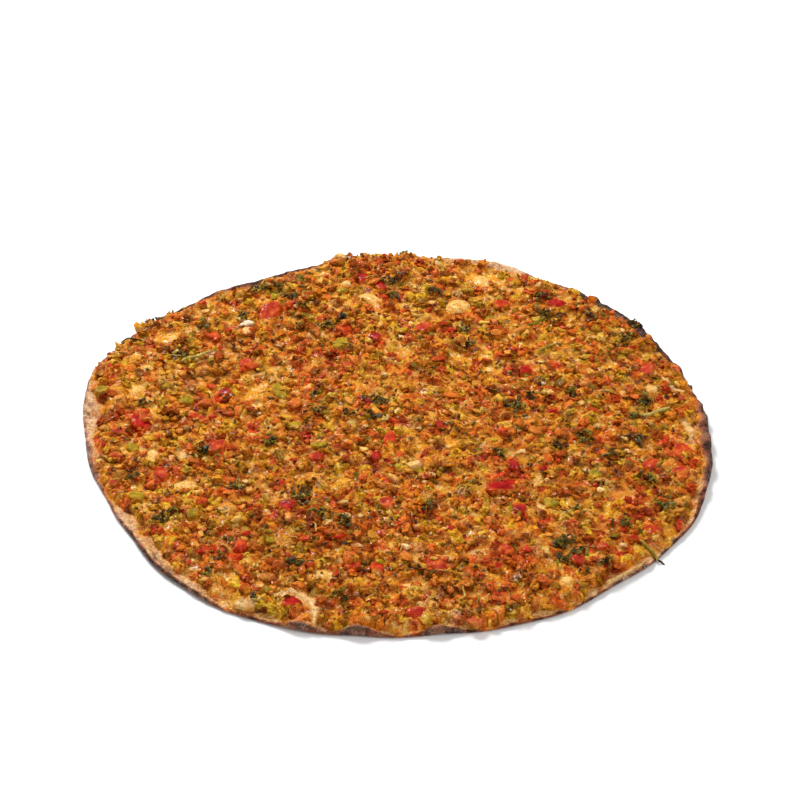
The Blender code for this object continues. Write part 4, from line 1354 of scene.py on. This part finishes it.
def make_large_piece(piece):
    """A chopped piece lying in the topping: cut sides, an uneven top and a slight lean."""
    seed = sum(ord(letter) for letter in piece["node"])
    generator = np.random.default_rng(seed)
    u, v, share = disc_grid(PIECE_STEPS)
    angle = np.arctan2(v, u)
    corners = generator.integers(4, 7)
    corner_turns = (np.arange(corners) + generator.uniform(-0.3, 0.3, corners)) * 2 * math.pi / corners
    corner_turns = np.sort((corner_turns + generator.uniform(0, 2 * math.pi)) % (2 * math.pi))
    corner_reaches = piece_reach(piece, corner_turns) * generator.uniform(1.0, 1.2, corners)
    ragged = 1 + 0.1 * noise_at(np.column_stack((np.cos(angle), np.sin(angle), 0 * angle)), 0.4, seed)
    reach = corners_reach(angle, corner_turns, corner_reaches)
    reach = np.maximum(reach, 0.9 * piece_reach(piece, angle)) * ragged
    middle_x, middle_y = piece["middle"]
    x = middle_x + u * reach
    y = middle_y + v * reach
    ground = field_height(np.array([middle_x]), np.array([middle_y]))[0]
    rise = min(max(piece["top"] - ground, LEAST_RISE), MOST_RISE)
    body = (1.0 - share ** 8) ** 0.5
    lean = generator.normal(0, 0.11, 2)
    top = ground + rise * (0.75 * body + 0.25 * body * (0.5 + flat_noise(x, y, 3.5, seed)))
    top += 0.25 * MM * flat_noise(x, y, 1.6, seed + 1) * body
    top += lean[0] * (x - middle_x) + lean[1] * (y - middle_y)
    low = ground - 1.2 * MM
    top = np.maximum(top - 0.6 * MM * (1 - body), low + 0.1 * MM)
    base, light, dark = PIECE_TINTS[piece["kind"]]
    blotch = flat_noise(x, y, 3.0, seed + 2)
    tints = layered(
        linear(base) * math.exp(generator.normal(0, 0.1)),
        (light, smooth_step(0.0, 0.5, blotch) * 0.7), (dark, smooth_step(0.0, 0.5, -blotch) * 0.7),
    )
    soaked = smooth_step(0.72, 1.05, share + 0.35 * flat_noise(x, y, 2.5, seed + 3))[:, None]
    tints += (topping_tints(x, y) - tints) * soaked * 0.85
    sheet = closed_sheet(np.column_stack((x, y, top)), PIECE_STEPS, PIECE_STEPS, low, tints)
    raise_field(sheet[0])
    name = f"{piece['kind']}_piece_{piece['node'][-2:]}"
    build(name, *sheet, PIECE_LOOKS[piece["kind"]], (piece["node"],), piece["kind"])


# ---- stage

def make_stage():
    bpy.ops.mesh.primitive_plane_add(size=FLOOR_SIZE, location=(0, 0, cad_box[0].z))
    floor = bpy.context.object
    floor.name = "floor"
    material = bpy.data.materials.new("pale_floor")
    material.use_nodes = True
    inputs = {"Base Color": (FLOOR_GREY, FLOOR_GREY, FLOOR_GREY, 1), "Roughness": 0.9}
    fill(material.node_tree, material.node_tree.nodes["Principled BSDF"], inputs)
    floor.data.materials.append(material)


def add_area(name, place, size, power):
    data = bpy.data.lights.new(name, "AREA")
    data.size = size
    data.energy = power
    lamp = bpy.data.objects.new(name, data)
    lamp.location = place
    lamp.rotation_euler = (-Vector(place)).to_track_quat("-Z", "Y").to_euler()
    bpy.context.scene.collection.objects.link(lamp)


def make_lights():
    world = bpy.data.worlds.new("studio")
    world.use_nodes = True
    sky = world.node_tree.nodes["Background"]
    fill(world.node_tree, sky, {"Color": (1.0, 1.0, 1.0, 1), "Strength": SKY_STRENGTH})
    bpy.context.scene.world = world
    for name, row in LIGHTS.items():
        add_area(name, *row)


def make_camera():
    data = bpy.data.cameras.new("camera")
    data.lens = CAMERA_LENS_MM
    data.sensor_width = CAMERA_SENSOR_MM
    camera = bpy.data.objects.new("camera", data)
    rise = math.radians(CAMERA_ELEVATION)
    place = Vector((0, -CAMERA_DISTANCE * math.cos(rise), CAMERA_DISTANCE * math.sin(rise))) - Vector(MIDDLE)
    aim = Vector((*AIM, 0.0)) - Vector(MIDDLE)
    camera.location = place
    camera.rotation_euler = (aim - place).to_track_quat("-Z", "Y").to_euler()
    bpy.context.scene.collection.objects.link(camera)
    bpy.context.scene.camera = camera
    bpy.context.scene.view_settings.view_transform = "Standard"


make_camera()
make_lights()
make_stage()
large_pieces = find_large_pieces()
make_bread()
make_core()
mince = food_material("mince", 0.5, grain=0.35, grain_size=0.9, bump=0.8, wet=0.34, crumb=1.5)
lay_mince("mince_coarse", mince, 22, 1000, 3.6, (2.8, 6.2), 0.55, 0.2, 2, 40, 1.8)
for large_piece in large_pieces:
    make_large_piece(large_piece)
make_bits()
lay_mince("mince_fine", mince, 21, 1700, 2.3, (1.4, 2.8), 0.4, 0.1, 1, 45, 0.4)
make_herbs()
make_stalks()
